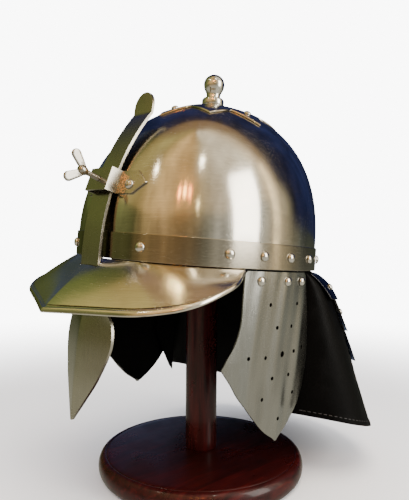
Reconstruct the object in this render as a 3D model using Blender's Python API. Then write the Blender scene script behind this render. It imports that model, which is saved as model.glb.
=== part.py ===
"""A lobster-tail pot helmet on its turned wooden stand.

Metres, +Z up. The origin is the centre of the stand's base on the floor. The helmet faces -Y and the
wearer's left is +X. Every piece of the helmet is drawn upright in the helmet's own frame, whose origin is
the middle of the brow band's top edge, and hangs from one empty that gives the helmet its tilt on the post.
"""

import math

import bmesh
import bpy
import numpy as np
from mathutils import Matrix, Vector

# How the helmet sits
SEAT_HEIGHT = 0.230  # brow band's top edge above the floor
SEAT_FORWARD = 0.0
TILT_BACK = math.radians(2.0)
LEAN_LEFT = math.radians(3.5)

# Skull
SKULL_HALF_WIDTH = 0.104
SKULL_HALF_LENGTH = 0.120
SKULL_HEIGHT = 0.1327  # crown above the band's top edge
SKULL_WALL = 0.0016
PLAN_POWER, PLAN_SWING = 2.32, 0.17  # squareness of the plan, and how much squarer its front is
RISE_POWER, RISE_SWING = 2.18, 0.20  # squareness of the rise, and how much fuller its back is
COLUMNS = 48
RISE_ROWS = 9

# Brow band
BAND_DEPTH = 0.0222
BAND_THICK = 0.0011
BAND_OPEN = 0.0122  # half the opening at the front, behind the bar
SEAT_GAP = 0.0003
SOFT_GAP = 0.0006  # between leather and the steel that carries it

# Peak
PEAK_THICK = 0.0015
PEAK_HALF_WIDTH = 0.117
PEAK_REACH = 0.1667  # tip in front of the helmet's axis
PEAK_DROP = 0.0420  # tip below the peak's ends
PEAK_FALL_POWER = 0.85  # below 1 the rim falls faster at its ends
PEAK_END = math.radians(-24.8)
PEAK_LAP = 0.0022  # how far the peak runs in under the rim
PEAK_BEAD = 0.0018
PEAK_SWELL_SHARE = 0.035  # rise of the slope at its middle, as a share of its length
PEAK_END_OUT = 0.0020  # ends of its rim beyond the band
SLOT_HALF_DEPTH = 0.030  # cutter of the bar's slot
PEAK_COLUMNS = 32
# Outer edge from one end to the tip: share of the half width, share of the way forward from end to tip
PEAK_RIM = ((0.975, 0.16), (1.0, 0.32), (0.992, 0.48), (0.940, 0.60), (0.862, 0.68), (0.780, 0.74), (0.690, 0.785), (0.560, 0.828),
            (0.40, 0.875), (0.22, 0.93), (0.08, 0.976))

# Nasal bar and guard
BAR_HALF_WIDTH = 0.0135
BAR_THICK = 0.0024
BAR_ARC = 0.218  # radius that the bar is bent to, and slides along
BAR_STANDOFF = 0.0070  # bar's middle in front of the skull at the brow
BAR_ARC_LOW = 0.0212  # lowest upright point of the arc, below the band's top edge
BAR_TOP_HEIGHT = 0.108  # where the tail is bent up straight
BAR_TAIL = 0.0200
BAR_TAIL_LEAN = math.radians(5)
BAR_FOOT_DEPTH = 0.050  # where the arc ends and the leaf begins, below the band's top edge
GUARD_LENGTH = 0.1085  # leaf, from the end of the arc to the tip
GUARD_HALF_WIDTH = 0.0345
GUARD_FORWARD = 0.0085  # tip in front of the end of the arc
GUARD_FOLD = 0.29  # depth of the leaf's fold as a share of its half width
# Leaf: share of the way down, share of its half width, share of its fold
GUARD_SECTIONS = ((0.06, 0.42, 0.15), (0.12, 0.60, 0.45), (0.17, 0.80, 0.75), (0.23, 0.92, 0.95), (0.31, 0.985, 1.0), (0.39, 1.0, 1.0),
                  (0.48, 0.93, 1.0), (0.58, 0.80, 1.0), (0.69, 0.64, 1.0), (0.83, 0.37, 1.0), (0.94, 0.15, 1.0), (1.0, 0.03, 1.0))
SLIDE_GAP = 0.0007

# Bracket on the forehead and its wing screw
BRACKET_UP = 0.0415  # its middle above the band's top edge
BRACKET_HALF_WIDTH = 0.0160
BRACKET_HALF_HEIGHT = 0.0102
BRACKET_DEPTH = 0.0125
BRACKET_WALL = 0.0014
FLANGE_REACH = 0.0287  # flange beyond the box
FLANGE_GAP = 0.0008  # flat facets over the round of the forehead
SCREW_RADIUS = 0.0024
SCREW_OUT = 0.0125  # screw shaft in front of the bracket
HUB_RADIUS = 0.0040
HUB_LENGTH = 0.0075
WING_SPREAD = 0.0100
WING_REACH = 0.0130
WING_TIP = 0.0042
WING_THICK = 0.0022
SCREW_GAP = 0.0004

# Crown plate and finial
CROWN_TIP = 0.066
CROWN_VALLEY = 0.049
CROWN_POINTS = 8
CROWN_THICK = 0.0012
CROWN_GAP = 0.0010  # flat facets over the round of the dome
FINIAL_HEIGHT = 0.0340
FINIAL_BALL = 0.0105
# Turned outline of the finial, top to bottom: share of its height, share of the ball's radius
FINIAL_OUTLINE = ((0.99, 0.25), (0.95, 0.56), (0.87, 0.84), (0.77, 0.98), (0.67, 1.0), (0.56, 0.92), (0.46, 0.76), (0.38, 0.675),
                  (0.30, 0.68), (0.27, 0.96), (0.20, 1.07), (0.08, 1.07), (0.0, 1.0))

# Cheek plates and their linings
CHEEK_LENGTH = 0.1485
CHEEK_HALF_WIDTH = 0.0480
CHEEK_BACK = 0.0045  # plate's middle behind the helmet's axis
CHEEK_THICK = 0.0012
CHEEK_DROP = 0.0016  # top edge below the band
CHEEK_INSET = 0.0004  # outer face inside the skull's outer face
CHEEK_FLATTEN_SHARE = 0.5
# Outline from the top down: share of the length, front edge and rear edge as shares of the half width from its middle
CHEEK_ROWS = ((0.0, -0.99, 0.76), (0.14, -1.0, 0.87), (0.30, -1.02, 0.97), (0.41, -1.13, 1.0), (0.485, -1.29, 1.01),
              (0.535, -1.40, 1.01), (0.61, -1.20, 0.985), (0.70, -0.99, 0.90), (0.78, -0.76, 0.77), (0.86, -0.52, 0.60),
              (0.93, -0.27, 0.38), (0.98, -0.02, 0.17), (1.0, 0.05, 0.10))
CHEEK_COLUMNS = 6
HOLE_RADIUS = 0.0015
MIDDLE_HOLE_RADIUS = 0.0026
# Piercings: share of the length, share of the half width from the middle
CHEEK_HOLES = ((0.19, -0.34), (0.19, 0.49), (0.325, -0.12), (0.325, 0.34), (0.485, -0.82), (0.495, -0.37), (0.48, 0.47),
               (0.465, 0.75), (0.62, -0.16), (0.62, 0.36), (0.735, -0.38), (0.735, 0.52), (0.87, 0.10))
MIDDLE_HOLE = (0.487, 0.10)
CHEEK_RIVETS = ((0.055, -0.63), (0.055, 0.10), (0.055, 0.60))
LEATHER = 0.0020
LINING_INSET = 0.0022  # how far a lining stays inside the plate's outline
LEATHER_LAP = 0.0130  # how far leather runs up inside the skull's rim

# Neck guard
NECK_START = math.radians(15)
NECK_FLARE_START = math.radians(29)  # just behind the cheek plate
NECK_SIDE_DROP = 0.120
NECK_BACK_DROP = 0.170
NECK_FLARE = 0.068
NECK_LAP_END = math.radians(28)  # its hem rises from here to its front corners
NECK_LAP_RISE = 0.030
NECK_SHOULDER = 0.0180
NECK_SHOULDER_SHARE = 0.05
NECK_FULLNESS = 0.27
NECK_ROWS = 7
NECK_DROP = 0.0010  # where its flare starts, below the rim
LAME_THICK = 0.0012
LAME_GAP = 0.0010  # a lame over the leather at its upper edge
LAME_LIFT = 0.0028  # how far a lame's lower edge rides over the next one
# Lames, from the top: shares of the drop where each starts and ends, and the angles where its ends start and finish
LAME_ROWS = ((0.012, 0.175, 31, 35), (0.135, 0.385, 41, 46), (0.345, 0.585, 47, 51), (0.545, 0.82, 53, 59))

# Rivets
RIVET_RADIUS = 0.0043
RIVET_RISE = 0.0026
RIVET_GAP = 0.0004  # a flat head on a curved sheet
BAND_RIVETS = (0.1381, 0.3383, 0.4336, 0.5289, 0.6242, 0.7195, 0.8148, 0.9101)  # shares of the half girth from the front's middle
FLANGE_RIVET = 0.0136  # beyond the box
FLANGE_RIVET_LOW = 0.0020  # below the bracket's middle

# Stand
BASE_RADIUS = 0.1015  # an eight inch base
BASE_HEIGHT = 0.0202
BASE_FLAT = 0.0949
POST_FOOT_RADIUS = 0.0156
POST_TOP_RADIUS = 0.0164
POST_DOME = 0.006

STEEL = ("polished_steel", (0.62, 0.60, 0.54), 0.22, 1.0)
BRIGHT = ("bright_steel", (0.78, 0.77, 0.74), 0.15, 1.0)
BLACK = ("black_leather", (0.012, 0.012, 0.013), 0.45, 0.0)
WOOD = ("mahogany", (0.085, 0.012, 0.010), 0.25, 0.0)


# Shape of the helmet

def plan_radius(angle, out=0.0):
    """Distance of the skull's plan from the axis at an angle from +X, for a wall moved outwards by out."""
    power = PLAN_POWER - PLAN_SWING * np.sin(angle)
    wide, long = SKULL_HALF_WIDTH + out, SKULL_HALF_LENGTH + out
    return (np.abs(np.cos(angle) / wide) ** power + np.abs(np.sin(angle) / long) ** power) ** (-1 / power)


def wall_point(angle, z, out=0.0):
    """Point of the skull's upright rim, moved outwards by out."""
    r = plan_radius(angle, out)
    return np.stack(np.broadcast_arrays(r * np.cos(angle), r * np.sin(angle), z), -1)


def dome_point(angle, share, out=0.0):
    """Point of the dome at a share of its plan radius."""
    power = RISE_POWER + RISE_SWING * np.sin(angle)
    r = plan_radius(angle, out) * share
    z = (SKULL_HEIGHT + out) * np.clip(1 - share ** power, 0, 1) ** (1 / power)
    return np.stack(np.broadcast_arrays(r * np.cos(angle), r * np.sin(angle), z), -1)


def dome_over(x, y, out=0.0):
    """Point of the dome above a place in the plan."""
    angle = np.arctan2(y, x)
    return dome_point(angle, np.hypot(x, y) / plan_radius(angle, out), out)


def brow_point(x, z, out=0.0):
    """Point of the forehead at a place across and up, found by halving the way out from the axis."""
    near, far = 0.0, SKULL_HALF_LENGTH + abs(out) + 0.01
    for _ in range(40):
        middle = (near + far) / 2
        if dome_over(x, -middle, out)[2] > z and math.hypot(x, middle) < plan_radius(math.atan2(-middle, x), out):
            near = middle
        else:
            far = middle
    return np.array((x, -near, z))


def girth_angle(share):
    """Angle from +X of the place at a share of the way round the rim from the middle of the front to that of the back."""
    angles = np.linspace(-math.pi / 2, math.pi / 2, 721)
    points = wall_point(angles, 0.0)
    run = np.concatenate([[0], np.cumsum(np.linalg.norm(np.diff(points, axis=0), axis=1))])
    return float(np.interp(share * run[-1], run, angles))


def side_x(y, out=0.0):
    """Half width of the plan at a distance behind the axis."""
    angle = math.atan2(y, SKULL_HALF_WIDTH)
    for _ in range(30):
        angle = math.atan2(y, plan_radius(angle, out) * math.cos(angle))
    return float(plan_radius(angle, out) * math.cos(angle))


def smooth_line(knots, count):
    """Points along a smooth curve through the knots, evenly shared by its parameter (Catmull and Rom's curve)."""
    knots = np.array([2 * np.array(knots[0]) - knots[1], *knots, 2 * np.array(knots[-1]) - knots[-2]])
    place = np.linspace(0, len(knots) - 3 - 1e-9, count)
    k, t = place.astype(int), (place % 1)[:, None]
    a, b, c, d = knots[k], knots[k + 1], knots[k + 2], knots[k + 3]
    return 0.5 * (2 * b + (c - a) * t + (2 * a - 5 * b + 4 * c - d) * t ** 2 + (3 * b - a - 3 * c + d) * t ** 3)


# Building

def material(finish):
    name, colour, roughness, metallic = finish
    found = bpy.data.materials.get(name)
    if found:
        return found
    made = bpy.data.materials.new(name)
    made.use_nodes = True
    shader = made.node_tree.nodes["Principled BSDF"]
    shader.inputs["Base Color"].default_value = (*colour, 1)
    shader.inputs["Roughness"].default_value = roughness
    shader.inputs["Metallic"].default_value = metallic
    return made


def object_of(name, mesh_edit, finish, parent, location=(0, 0, 0)):
    mesh = bpy.data.meshes.new(name)
    bmesh.ops.recalc_face_normals(mesh_edit, faces=mesh_edit.faces)
    mesh_edit.to_mesh(mesh)
    mesh_edit.free()
    mesh.shade_smooth()
    mesh.set_sharp_from_angle(angle=math.radians(35))
    mesh.materials.append(material(finish))
    made = bpy.data.objects.new(name, mesh)
    bpy.context.collection.objects.link(made)
    made.parent = parent
    made.location = location
    return made


def bridge(edit, first, second, around=True):
    count = len(first)
    for i in range(count if around else count - 1):
        j = (i + 1) % count
        edit.faces.new((first[i], first[j], second[j], second[i]))


def sheet(name, outer, inner, finish, parent):
    """A wall between two grids of points, rows by columns, closed round its four edges."""
    edit = bmesh.new()
    skins = [[[edit.verts.new(point) for point in row] for row in skin] for skin in (outer, inner)]
    for skin in skins:
        for low, high in zip(skin, skin[1:]):
            bridge(edit, low, high, around=False)
    over, under = skins
    edges = [(over[0], under[0]), (over[-1], under[-1]), ([row[0] for row in over], [row[0] for row in under]),
             ([row[-1] for row in over], [row[-1] for row in under])]
    for first, second in edges:
        bridge(edit, first, second, around=False)
    return object_of(name, edit, finish, parent)


def loft(name, loops, finish, parent, location=(0, 0, 0)):
    """A solid through closed loops of equal length, capped at both ends."""
    edit = bmesh.new()
    rings = [[edit.verts.new(point) for point in ring] for ring in loops]
    for first, second in zip(rings, rings[1:]):
        bridge(edit, first, second)
    edit.faces.new(rings[0])
    edit.faces.new(rings[-1])
    return object_of(name, edit, finish, parent, location)


def turned_edit(outline, sides):
    """A solid of revolution about Z from (radius, height) points, top to bottom, closed at both ends."""
    edit = bmesh.new()
    turn = np.arange(sides) * 2 * math.pi / sides
    rings = [[edit.verts.new((r * math.cos(a), r * math.sin(a), z)) for a in turn] for r, z in outline]
    for first, second in zip(rings, rings[1:]):
        bridge(edit, first, second)
    edit.faces.new(rings[0])
    edit.faces.new(rings[-1])
    return edit


def boolean(target, other, operation):
    other.hide_render = True
    other.display_type = "WIRE"
    change = target.modifiers.new(f"{operation.lower()} {other.name}", "BOOLEAN")
    change.operation = operation
    change.object = other


def rivet(name, seat, normal, parent, finish=BRIGHT, radius=RIVET_RADIUS):
    """A domed head whose flat base lies just off the sheet."""
    rise = RIVET_RISE * radius / RIVET_RADIUS
    outline = [(radius * math.sin(a), rise * math.cos(a)) for a in np.radians((24, 62))] + [(radius, 0.0)]
    head = object_of(name, turned_edit(outline, 8), finish, parent)
    normal = Vector(normal).normalized()
    head.location = Vector(seat) + normal * RIVET_GAP
    head.rotation_euler = normal.to_track_quat("Z", "Y").to_euler()
    return head


# Pieces of the helmet

def skull(seat):
    """Raised bowl: an upright rim behind the band and a dome above it."""
    edit = bmesh.new()
    angles = np.arange(COLUMNS) * 2 * math.pi / COLUMNS
    climb = np.cos(np.linspace(0, math.pi / 2, RISE_ROWS + 1)[:-1])
    skins = []
    for out in (0.0, -SKULL_WALL):
        rows = [wall_point(angles, -BAND_DEPTH, out)] + [dome_point(angles, share, out) for share in climb]
        rows = [[edit.verts.new(point) for point in row] for row in rows]
        for low, high in zip(rows, rows[1:]):
            bridge(edit, low, high)
        crown = edit.verts.new((0, 0, SKULL_HEIGHT + out))
        for i in range(COLUMNS):
            edit.faces.new((rows[-1][i], rows[-1][(i + 1) % COLUMNS], crown))
        skins.append(rows)
    bridge(edit, skins[0][0], skins[1][0])
    return object_of("skull", edit, STEEL, seat)


def band_end_angle():
    return -math.pi / 2 + math.atan2(BAND_OPEN, SKULL_HALF_LENGTH)


def brow_band(seat):
    """Strip round the rim, open at the front behind the sliding bar."""
    step = 2 * math.pi / COLUMNS
    start = band_end_angle()
    whole = [a for a in np.arange(-COLUMNS, COLUMNS) * step if start + 1e-3 < a < start + 2 * math.pi - 2 * (start + math.pi / 2) - 1e-3]
    angles = np.array([start, *whole, -math.pi - start + 2 * math.pi])
    inner, outer = SEAT_GAP, SEAT_GAP + BAND_THICK
    loops = [[wall_point(a, z, out) for z, out in ((0, outer), (-BAND_DEPTH, outer), (-BAND_DEPTH, inner), (0, inner))]
             for a in angles]
    band = loft("brow_band", loops, STEEL, seat)
    for side in (1, -1):
        for number, share in enumerate(BAND_RIVETS, 1):
            angle = girth_angle(share)
            normal = wall_point(angle + 0.01, 0.0) - wall_point(angle - 0.01, 0.0)
            place = wall_point(angle, -BAND_DEPTH / 2, outer) * (side, 1, 1)
            rivet(f"band_rivet_{'left' if side > 0 else 'right'}_{number}", place, (side * normal[1], -normal[0], 0), seat)
    return band


def peak_rim():
    """Outer edge of the peak from its left end to its right end, through the tip."""
    end = wall_point(PEAK_END, 0.0, BAND_THICK + PEAK_END_OUT)
    knots = [(end[0], end[1])]
    knots += [(x * PEAK_HALF_WIDTH, end[1] + share * (-PEAK_REACH - end[1])) for x, share in PEAK_RIM]
    knots += [(0.0, -PEAK_REACH)]
    half = smooth_line(knots, PEAK_COLUMNS // 2 + 1)
    rim = np.concatenate([half, half[-2::-1] * (-1, 1)])
    forward = np.clip((end[1] - rim[:, 1]) / (PEAK_REACH + end[1]), 0, 1)
    return np.column_stack([rim, -BAND_DEPTH - 2 * SEAT_GAP - PEAK_DROP * forward ** PEAK_FALL_POWER])


def peak(seat, slot_y):
    """Wide pointed peak: flat where it laps under the rim, then sloping to a rolled edge."""
    rim = peak_rim()
    angles = np.linspace(PEAK_END, -math.pi - PEAK_END, PEAK_COLUMNS + 1)
    top = -BAND_DEPTH - 2 * SEAT_GAP
    loops = []
    for angle, edge in zip(angles, rim):
        lap = wall_point(angle, top, -PEAK_LAP)
        turn = wall_point(angle, top, BAND_THICK + SEAT_GAP)
        out = edge - turn
        swell = PEAK_SWELL_SHARE * np.linalg.norm(out)
        slope = np.array([[0, 0, 0]] + [out * share + (0, 0, swell * math.sin(math.pi * share)) for share in (0.33, 0.66, 0.97)])
        upper = [lap, *(turn + slope)]
        lower = [point - (0, 0, PEAK_THICK) for point in upper][::-1]
        away = out / np.linalg.norm(out)
        up = np.array((0.0, 0.0, 1.0))
        centre = edge - up * PEAK_THICK / 2
        bead = [centre + PEAK_BEAD * (away * math.cos(a) + up * math.sin(a)) for a in np.radians((105, 40, -25, -90))]
        loops.append(upper + bead + lower)
    made = loft("peak", loops, STEEL, seat)
    slot = box_edit(BAR_HALF_WIDTH + SLIDE_GAP, BAR_THICK / 2 + 2 * SLIDE_GAP, SLOT_HALF_DEPTH)
    boolean(made, object_of("peak_slot", slot, STEEL, seat, (0, slot_y, top)), "DIFFERENCE")
    return made


def box_edit(half_x, half_y, half_z):
    edit = bmesh.new()
    bmesh.ops.create_cube(edit, size=2.0, matrix=Matrix.Diagonal((half_x, half_y, half_z, 1)))
    return edit


def bar_front():
    """How far the bar's middle lies in front of the axis at the lowest point of its arc."""
    return SKULL_HALF_LENGTH + BAR_STANDOFF


def arc_centre():
    return Vector((0, BAR_ARC - bar_front(), -BAR_ARC_LOW))


def arc_frame(up):
    """Point on the bar's arc at a height, with the direction outwards and the direction up along the bar."""
    lean = math.asin((up + BAR_ARC_LOW) / BAR_ARC)
    centre = arc_centre()
    out = Vector((0, -math.cos(lean), math.sin(lean)))
    return centre + out * BAR_ARC, out, Vector((0, math.sin(lean), math.cos(lean)))


def nasal_guard(pivot):
    """Bent bar with a rounded tail above and a folded leaf below, in one piece."""
    stations = []
    end, _, _ = arc_frame(-BAR_FOOT_DEPTH)
    for share, width, fold in reversed(GUARD_SECTIONS):
        half = width * GUARD_HALF_WIDTH
        depth = fold * GUARD_FOLD * half
        ridge = end + Vector((0, -share * GUARD_FORWARD - 0.4 * depth, -share * GUARD_LENGTH))
        stations.append((ridge, Vector((0, -1, 0)), half, depth))
    for up in np.linspace(-BAR_FOOT_DEPTH, BAR_TOP_HEIGHT, 12):
        point, out, _ = arc_frame(float(up))
        stations.append((point, out, BAR_HALF_WIDTH, 0.0))
    foot, out, along = arc_frame(BAR_TOP_HEIGHT)
    out = Vector((0, -math.cos(BAR_TAIL_LEAN), math.sin(BAR_TAIL_LEAN)))
    along = Vector((0, math.sin(BAR_TAIL_LEAN), math.cos(BAR_TAIL_LEAN)))
    round_start = BAR_TAIL - BAR_HALF_WIDTH
    for run in (round_start * 0.6, round_start, *(round_start + BAR_HALF_WIDTH * math.sin(a) for a in np.radians((22, 45, 65, 80, 88)))):
        past = max(run - round_start, 0.0) / BAR_HALF_WIDTH
        stations.append((foot + along * run, out, BAR_HALF_WIDTH * math.sqrt(max(1 - past ** 2, 0.0)), 0.0))
    loops = []
    for point, out, half, setback in stations:
        side = Vector((half, 0, 0))
        face, back = out * BAR_THICK / 2, -out * BAR_THICK / 2
        rear = -out * setback
        loops.append([point + face, point + face + rear + side, point + back + rear + side, point + back,
                      point + back + rear - side, point + face + rear - side])
    centre = arc_centre()
    return loft("nasal_guard", [[p - centre for p in loop] for loop in loops], STEEL, pivot)


def nasal_bracket(seat, pivot):
    """Bent strip that boxes the bar in, with a pointed flange either side on the forehead."""
    centre, out, along = arc_frame(BRACKET_UP)
    wall, half = BRACKET_WALL, BRACKET_HALF_WIDTH
    stand = -brow_point(0.0, centre.z)[1] - SEAT_GAP
    front = BRACKET_DEPTH - (-centre.y - stand)

    def on_brow(x, run, lift):
        height = centre.z + run * along.z
        return brow_point(x, height, lift)

    stations = []
    for reach, high in ((1.0, 0.07), (0.62, 1.0), (0.3, 1.0)):
        x = half + FLANGE_REACH * reach
        stations.append([on_brow(x, high * BRACKET_HALF_HEIGHT, FLANGE_GAP + wall), on_brow(x, -high * BRACKET_HALF_HEIGHT, FLANGE_GAP + wall),
                         on_brow(x, -high * BRACKET_HALF_HEIGHT, FLANGE_GAP), on_brow(x, high * BRACKET_HALF_HEIGHT, FLANGE_GAP)])
    high = BRACKET_HALF_HEIGHT
    stations.append([on_brow(half, high, FLANGE_GAP + wall), on_brow(half, -high, FLANGE_GAP + wall), on_brow(half - wall, -high, FLANGE_GAP),
                     on_brow(half - wall, high, FLANGE_GAP)])
    corner = [(half, high, front), (half, -high, front), (half - wall, -high, front - wall), (half - wall, high, front - wall)]
    stations.append([np.array(centre + Vector((x, 0, 0)) + along * run + out * depth) for x, run, depth in corner])
    stations += [[point * (-1, 1, 1) for point in station] for station in reversed(stations)]
    made = loft("nasal_bracket", stations, STEEL, seat)
    bore = turned_edit([(SCREW_RADIUS + SCREW_GAP, 0.02), (SCREW_RADIUS + SCREW_GAP, -0.005)], 16)
    cutter = object_of("screw_bore", bore, STEEL, pivot)
    boolean(made, cutter, "DIFFERENCE")
    for side in (1, -1):
        x = half + FLANGE_RIVET
        place = brow_point(x, centre.z - FLANGE_RIVET_LOW, FLANGE_GAP + wall)
        step = 0.002
        across = brow_point(x + step, place[2], FLANGE_GAP + wall) - brow_point(x - step, place[2], FLANGE_GAP + wall)
        upward = brow_point(x, place[2] + step, FLANGE_GAP + wall) - brow_point(x, place[2] - step, FLANGE_GAP + wall)
        normal = np.cross(across, upward) * (side, 1, 1)
        rivet(f"bracket_rivet_{'left' if side > 0 else 'right'}", place * (side, 1, 1), normal, seat)
    return made


def wing_screw(pivot):
    """Screw along the pivot's +Z, from the bar's face out to two wings."""
    start = BAR_THICK / 2 + SEAT_GAP
    front = screw_front()
    neck = front + SCREW_OUT
    outline = [(HUB_RADIUS * 0.45, neck + HUB_LENGTH), (HUB_RADIUS * 0.85, neck + HUB_LENGTH * 0.85), (HUB_RADIUS, neck + HUB_LENGTH * 0.45),
               (HUB_RADIUS * 0.8, neck), (SCREW_RADIUS, neck - 0.0012), (SCREW_RADIUS, start)]
    made = object_of("wing_screw", turned_edit(outline, 14), BRIGHT, pivot)
    for side in (1, -1):
        foot, tip = np.array((0.0010, neck + HUB_LENGTH * 0.35)), np.array((WING_SPREAD, neck + WING_REACH))
        run = tip - foot
        run /= np.linalg.norm(run)
        across = np.array((run[1], -run[0]))
        rim = [foot - across * HUB_RADIUS * 0.55, foot + across * HUB_RADIUS * 0.75]
        turns = np.radians(np.linspace(-95, 95, 9))
        rim += [tip + WING_TIP * (run * math.cos(a) - across * math.sin(a)) for a in turns]
        loops = [[(side * x, y, z) for x, z in rim] for y in (-WING_THICK / 2, WING_THICK / 2)]
        boolean(made, loft(f"wing_{'one' if side > 0 else 'two'}", loops, BRIGHT, pivot), "UNION")
    return made


def screw_front():
    """Front face of the bracket, out from the middle of the bar."""
    centre = arc_frame(BRACKET_UP)[0]
    stand = -brow_point(0.0, centre.z)[1] - SEAT_GAP
    return BRACKET_DEPTH - (-centre.y - stand)


def crown_plate(seat):
    """Pointed star that follows the crown, one point to each eighth of a turn."""
    edit = bmesh.new()
    columns = CROWN_POINTS * 4
    angles = -math.pi / 2 + np.arange(columns) * 2 * math.pi / columns
    gap = CROWN_GAP
    skins = []
    for out in (gap + CROWN_THICK, gap):
        rows = []
        for share in (1.0, 0.84, 0.66, 0.42, 0.2):
            row = []
            for number, angle in enumerate(angles):
                between = abs((number / 4 + 0.5) % 1 - 0.5) * 2
                radius = (CROWN_TIP + (CROWN_VALLEY - CROWN_TIP) * between ** 0.85) * share
                row.append(edit.verts.new(dome_over(radius * math.cos(angle), radius * math.sin(angle), out)))
            rows.append(row)
        for low, high in zip(rows, rows[1:]):
            bridge(edit, low, high)
        crown = edit.verts.new((0, 0, SKULL_HEIGHT + out))
        for i in range(columns):
            edit.faces.new((rows[-1][i], rows[-1][(i + 1) % columns], crown))
        skins.append(rows[0])
    bridge(edit, skins[0], skins[1])
    made = object_of("crown_plate", edit, STEEL, seat)
    out = CROWN_GAP + CROWN_THICK
    for name, angle in (("front", -90), ("left", 0), ("back", 90), ("right", 180)):
        angle, step = math.radians(angle), 0.004
        radius = CROWN_VALLEY
        x, y = radius * math.cos(angle), radius * math.sin(angle)
        place = dome_over(x, y, out)
        across = dome_over(x + step, y, out) - dome_over(x - step, y, out)
        along = dome_over(x, y + step, out) - dome_over(x, y - step, out)
        rivet(f"crown_rivet_{name}", place, np.cross(across, along), seat, radius=RIVET_RADIUS * 0.8)
    return made


def finial(seat):
    outline = [(share * FINIAL_BALL, up * FINIAL_HEIGHT) for up, share in FINIAL_OUTLINE]
    base = SKULL_HEIGHT + CROWN_GAP + CROWN_THICK + SEAT_GAP
    return object_of("finial", turned_edit(outline, 16), BRIGHT, seat, (0, 0, base))


def cheek_point(length_share, width_share, out, side=1):
    """Point of a cheek plate: it follows the rim's plan at the top and is flatter lower down."""
    y = CHEEK_BACK + width_share * CHEEK_HALF_WIDTH
    flat = CHEEK_FLATTEN_SHARE * min(length_share / 0.5, 1.0)
    x = side_x(y, out) * (1 - flat) + (SKULL_HALF_WIDTH + out) * flat
    return np.array((side * x, y, -BAND_DEPTH - CHEEK_DROP - length_share * CHEEK_LENGTH))


def cheek_normal(length_share, width_share, out, side):
    step = 0.05
    ahead = cheek_point(length_share, width_share - step, out, side)
    behind = cheek_point(length_share, width_share + step, out, side)
    run = behind - ahead
    return (run[1] * side, -run[0] * side, 0.0)


def cheek_plate(seat, side):
    """Pierced plate with a five-sided outline, curved round the side of the head."""
    word = "left" if side > 0 else "right"
    outer, inner = -CHEEK_INSET, -CHEEK_INSET - CHEEK_THICK
    across = np.linspace(0, 1, CHEEK_COLUMNS + 1)
    skins = [[[cheek_point(down, front + (rear - front) * share, out, side) for share in across] for down, front, rear in CHEEK_ROWS]
             for out in (outer, inner)]
    plate = sheet(f"cheek_plate_{word}", *skins, STEEL, seat)
    holes = bmesh.new()
    for (down, along), radius in [(hole, HOLE_RADIUS) for hole in CHEEK_HOLES] + [(MIDDLE_HOLE, MIDDLE_HOLE_RADIUS)]:
        place = Vector(cheek_point(down, along, (outer + inner) / 2, side))
        turn = Vector(cheek_normal(down, along, outer, side)).to_track_quat("Z", "Y").to_matrix().to_4x4()
        bmesh.ops.create_cone(holes, cap_ends=True, segments=8, radius1=radius, radius2=radius, depth=CHEEK_THICK * 5,
                              matrix=Matrix.Translation(place) @ turn)
    boolean(plate, object_of(f"cheek_holes_{word}", holes, STEEL, seat), "DIFFERENCE")
    for number, (down, along) in enumerate(CHEEK_RIVETS, 1):
        rivet(f"cheek_rivet_{word}_{number}", cheek_point(down, along, outer, side), cheek_normal(down, along, outer, side), seat)
    return plate


def cheek_lining(seat, side):
    """Leather behind a cheek plate, which also carries it from inside the rim."""
    word = "left" if side > 0 else "right"
    outer = -CHEEK_INSET - CHEEK_THICK - SOFT_GAP
    inner = outer - LEATHER
    inset = LINING_INSET / CHEEK_HALF_WIDTH
    last = CHEEK_ROWS[-1]
    rows = [(-(LEATHER_LAP + CHEEK_DROP) / CHEEK_LENGTH, CHEEK_ROWS[0][1], CHEEK_ROWS[0][2]), *CHEEK_ROWS[:-1],
            (1 - LINING_INSET / CHEEK_LENGTH, last[1] - 0.6 * inset, last[2] + 0.6 * inset)]
    across = np.linspace(0, 1, CHEEK_COLUMNS + 1)
    skins = []
    for out in (outer, inner):
        skin = []
        for down, front, rear in rows:
            front, rear = front + inset, rear - inset
            rear = max(rear, front + 0.02)
            skin.append([cheek_point(down, front + (rear - front) * share, out, side) for share in across])
        skins.append(skin)
    return sheet(f"cheek_lining_{word}", *skins, BLACK, seat)


def neck_point(angle, down, lift):
    """Point of the neck guard: angle from the left side round the back, share of the drop, lift off the leather's outer face."""
    back = 1 - ((math.pi / 2 - angle) / (math.pi / 2 - NECK_START)) ** 2
    flared = 1 - ((math.pi / 2 - angle) / (math.pi / 2 - NECK_FLARE_START)) ** 2
    full = max(flared, 0.0) ** NECK_FULLNESS
    behind_lining = SOFT_GAP + LEATHER
    lap = behind_lining * (1 - min(max((math.sin(angle) - 0.46) / 0.25, 0.0), 1.0))
    below = max(down, 0.0)
    out = full * (NECK_FLARE * below + NECK_SHOULDER * (1 - math.exp(-below / NECK_SHOULDER_SHARE)))
    from_front = math.pi / 2 - abs(math.pi / 2 - angle)
    corner = max((NECK_LAP_END - from_front) / (NECK_LAP_END - NECK_START), 0.0)
    drop = NECK_SIDE_DROP + (NECK_BACK_DROP - NECK_SIDE_DROP) * max(back, 0.0) - NECK_LAP_RISE * corner
    base = -SKULL_WALL - SOFT_GAP - lap + out + lift
    return wall_point(angle, -BAND_DEPTH - NECK_DROP - down * drop, base)


def neck_angles():
    """Angles of the skirt's columns, closer together where it starts to flare."""
    flaring = NECK_FLARE_START + (math.pi / 2 - NECK_FLARE_START) * np.linspace(0, 1, 11) ** 1.9
    half = np.concatenate([[NECK_START, (NECK_START + NECK_FLARE_START) / 2], flaring])
    return np.concatenate([half, math.pi - half[-2::-1]])


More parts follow.
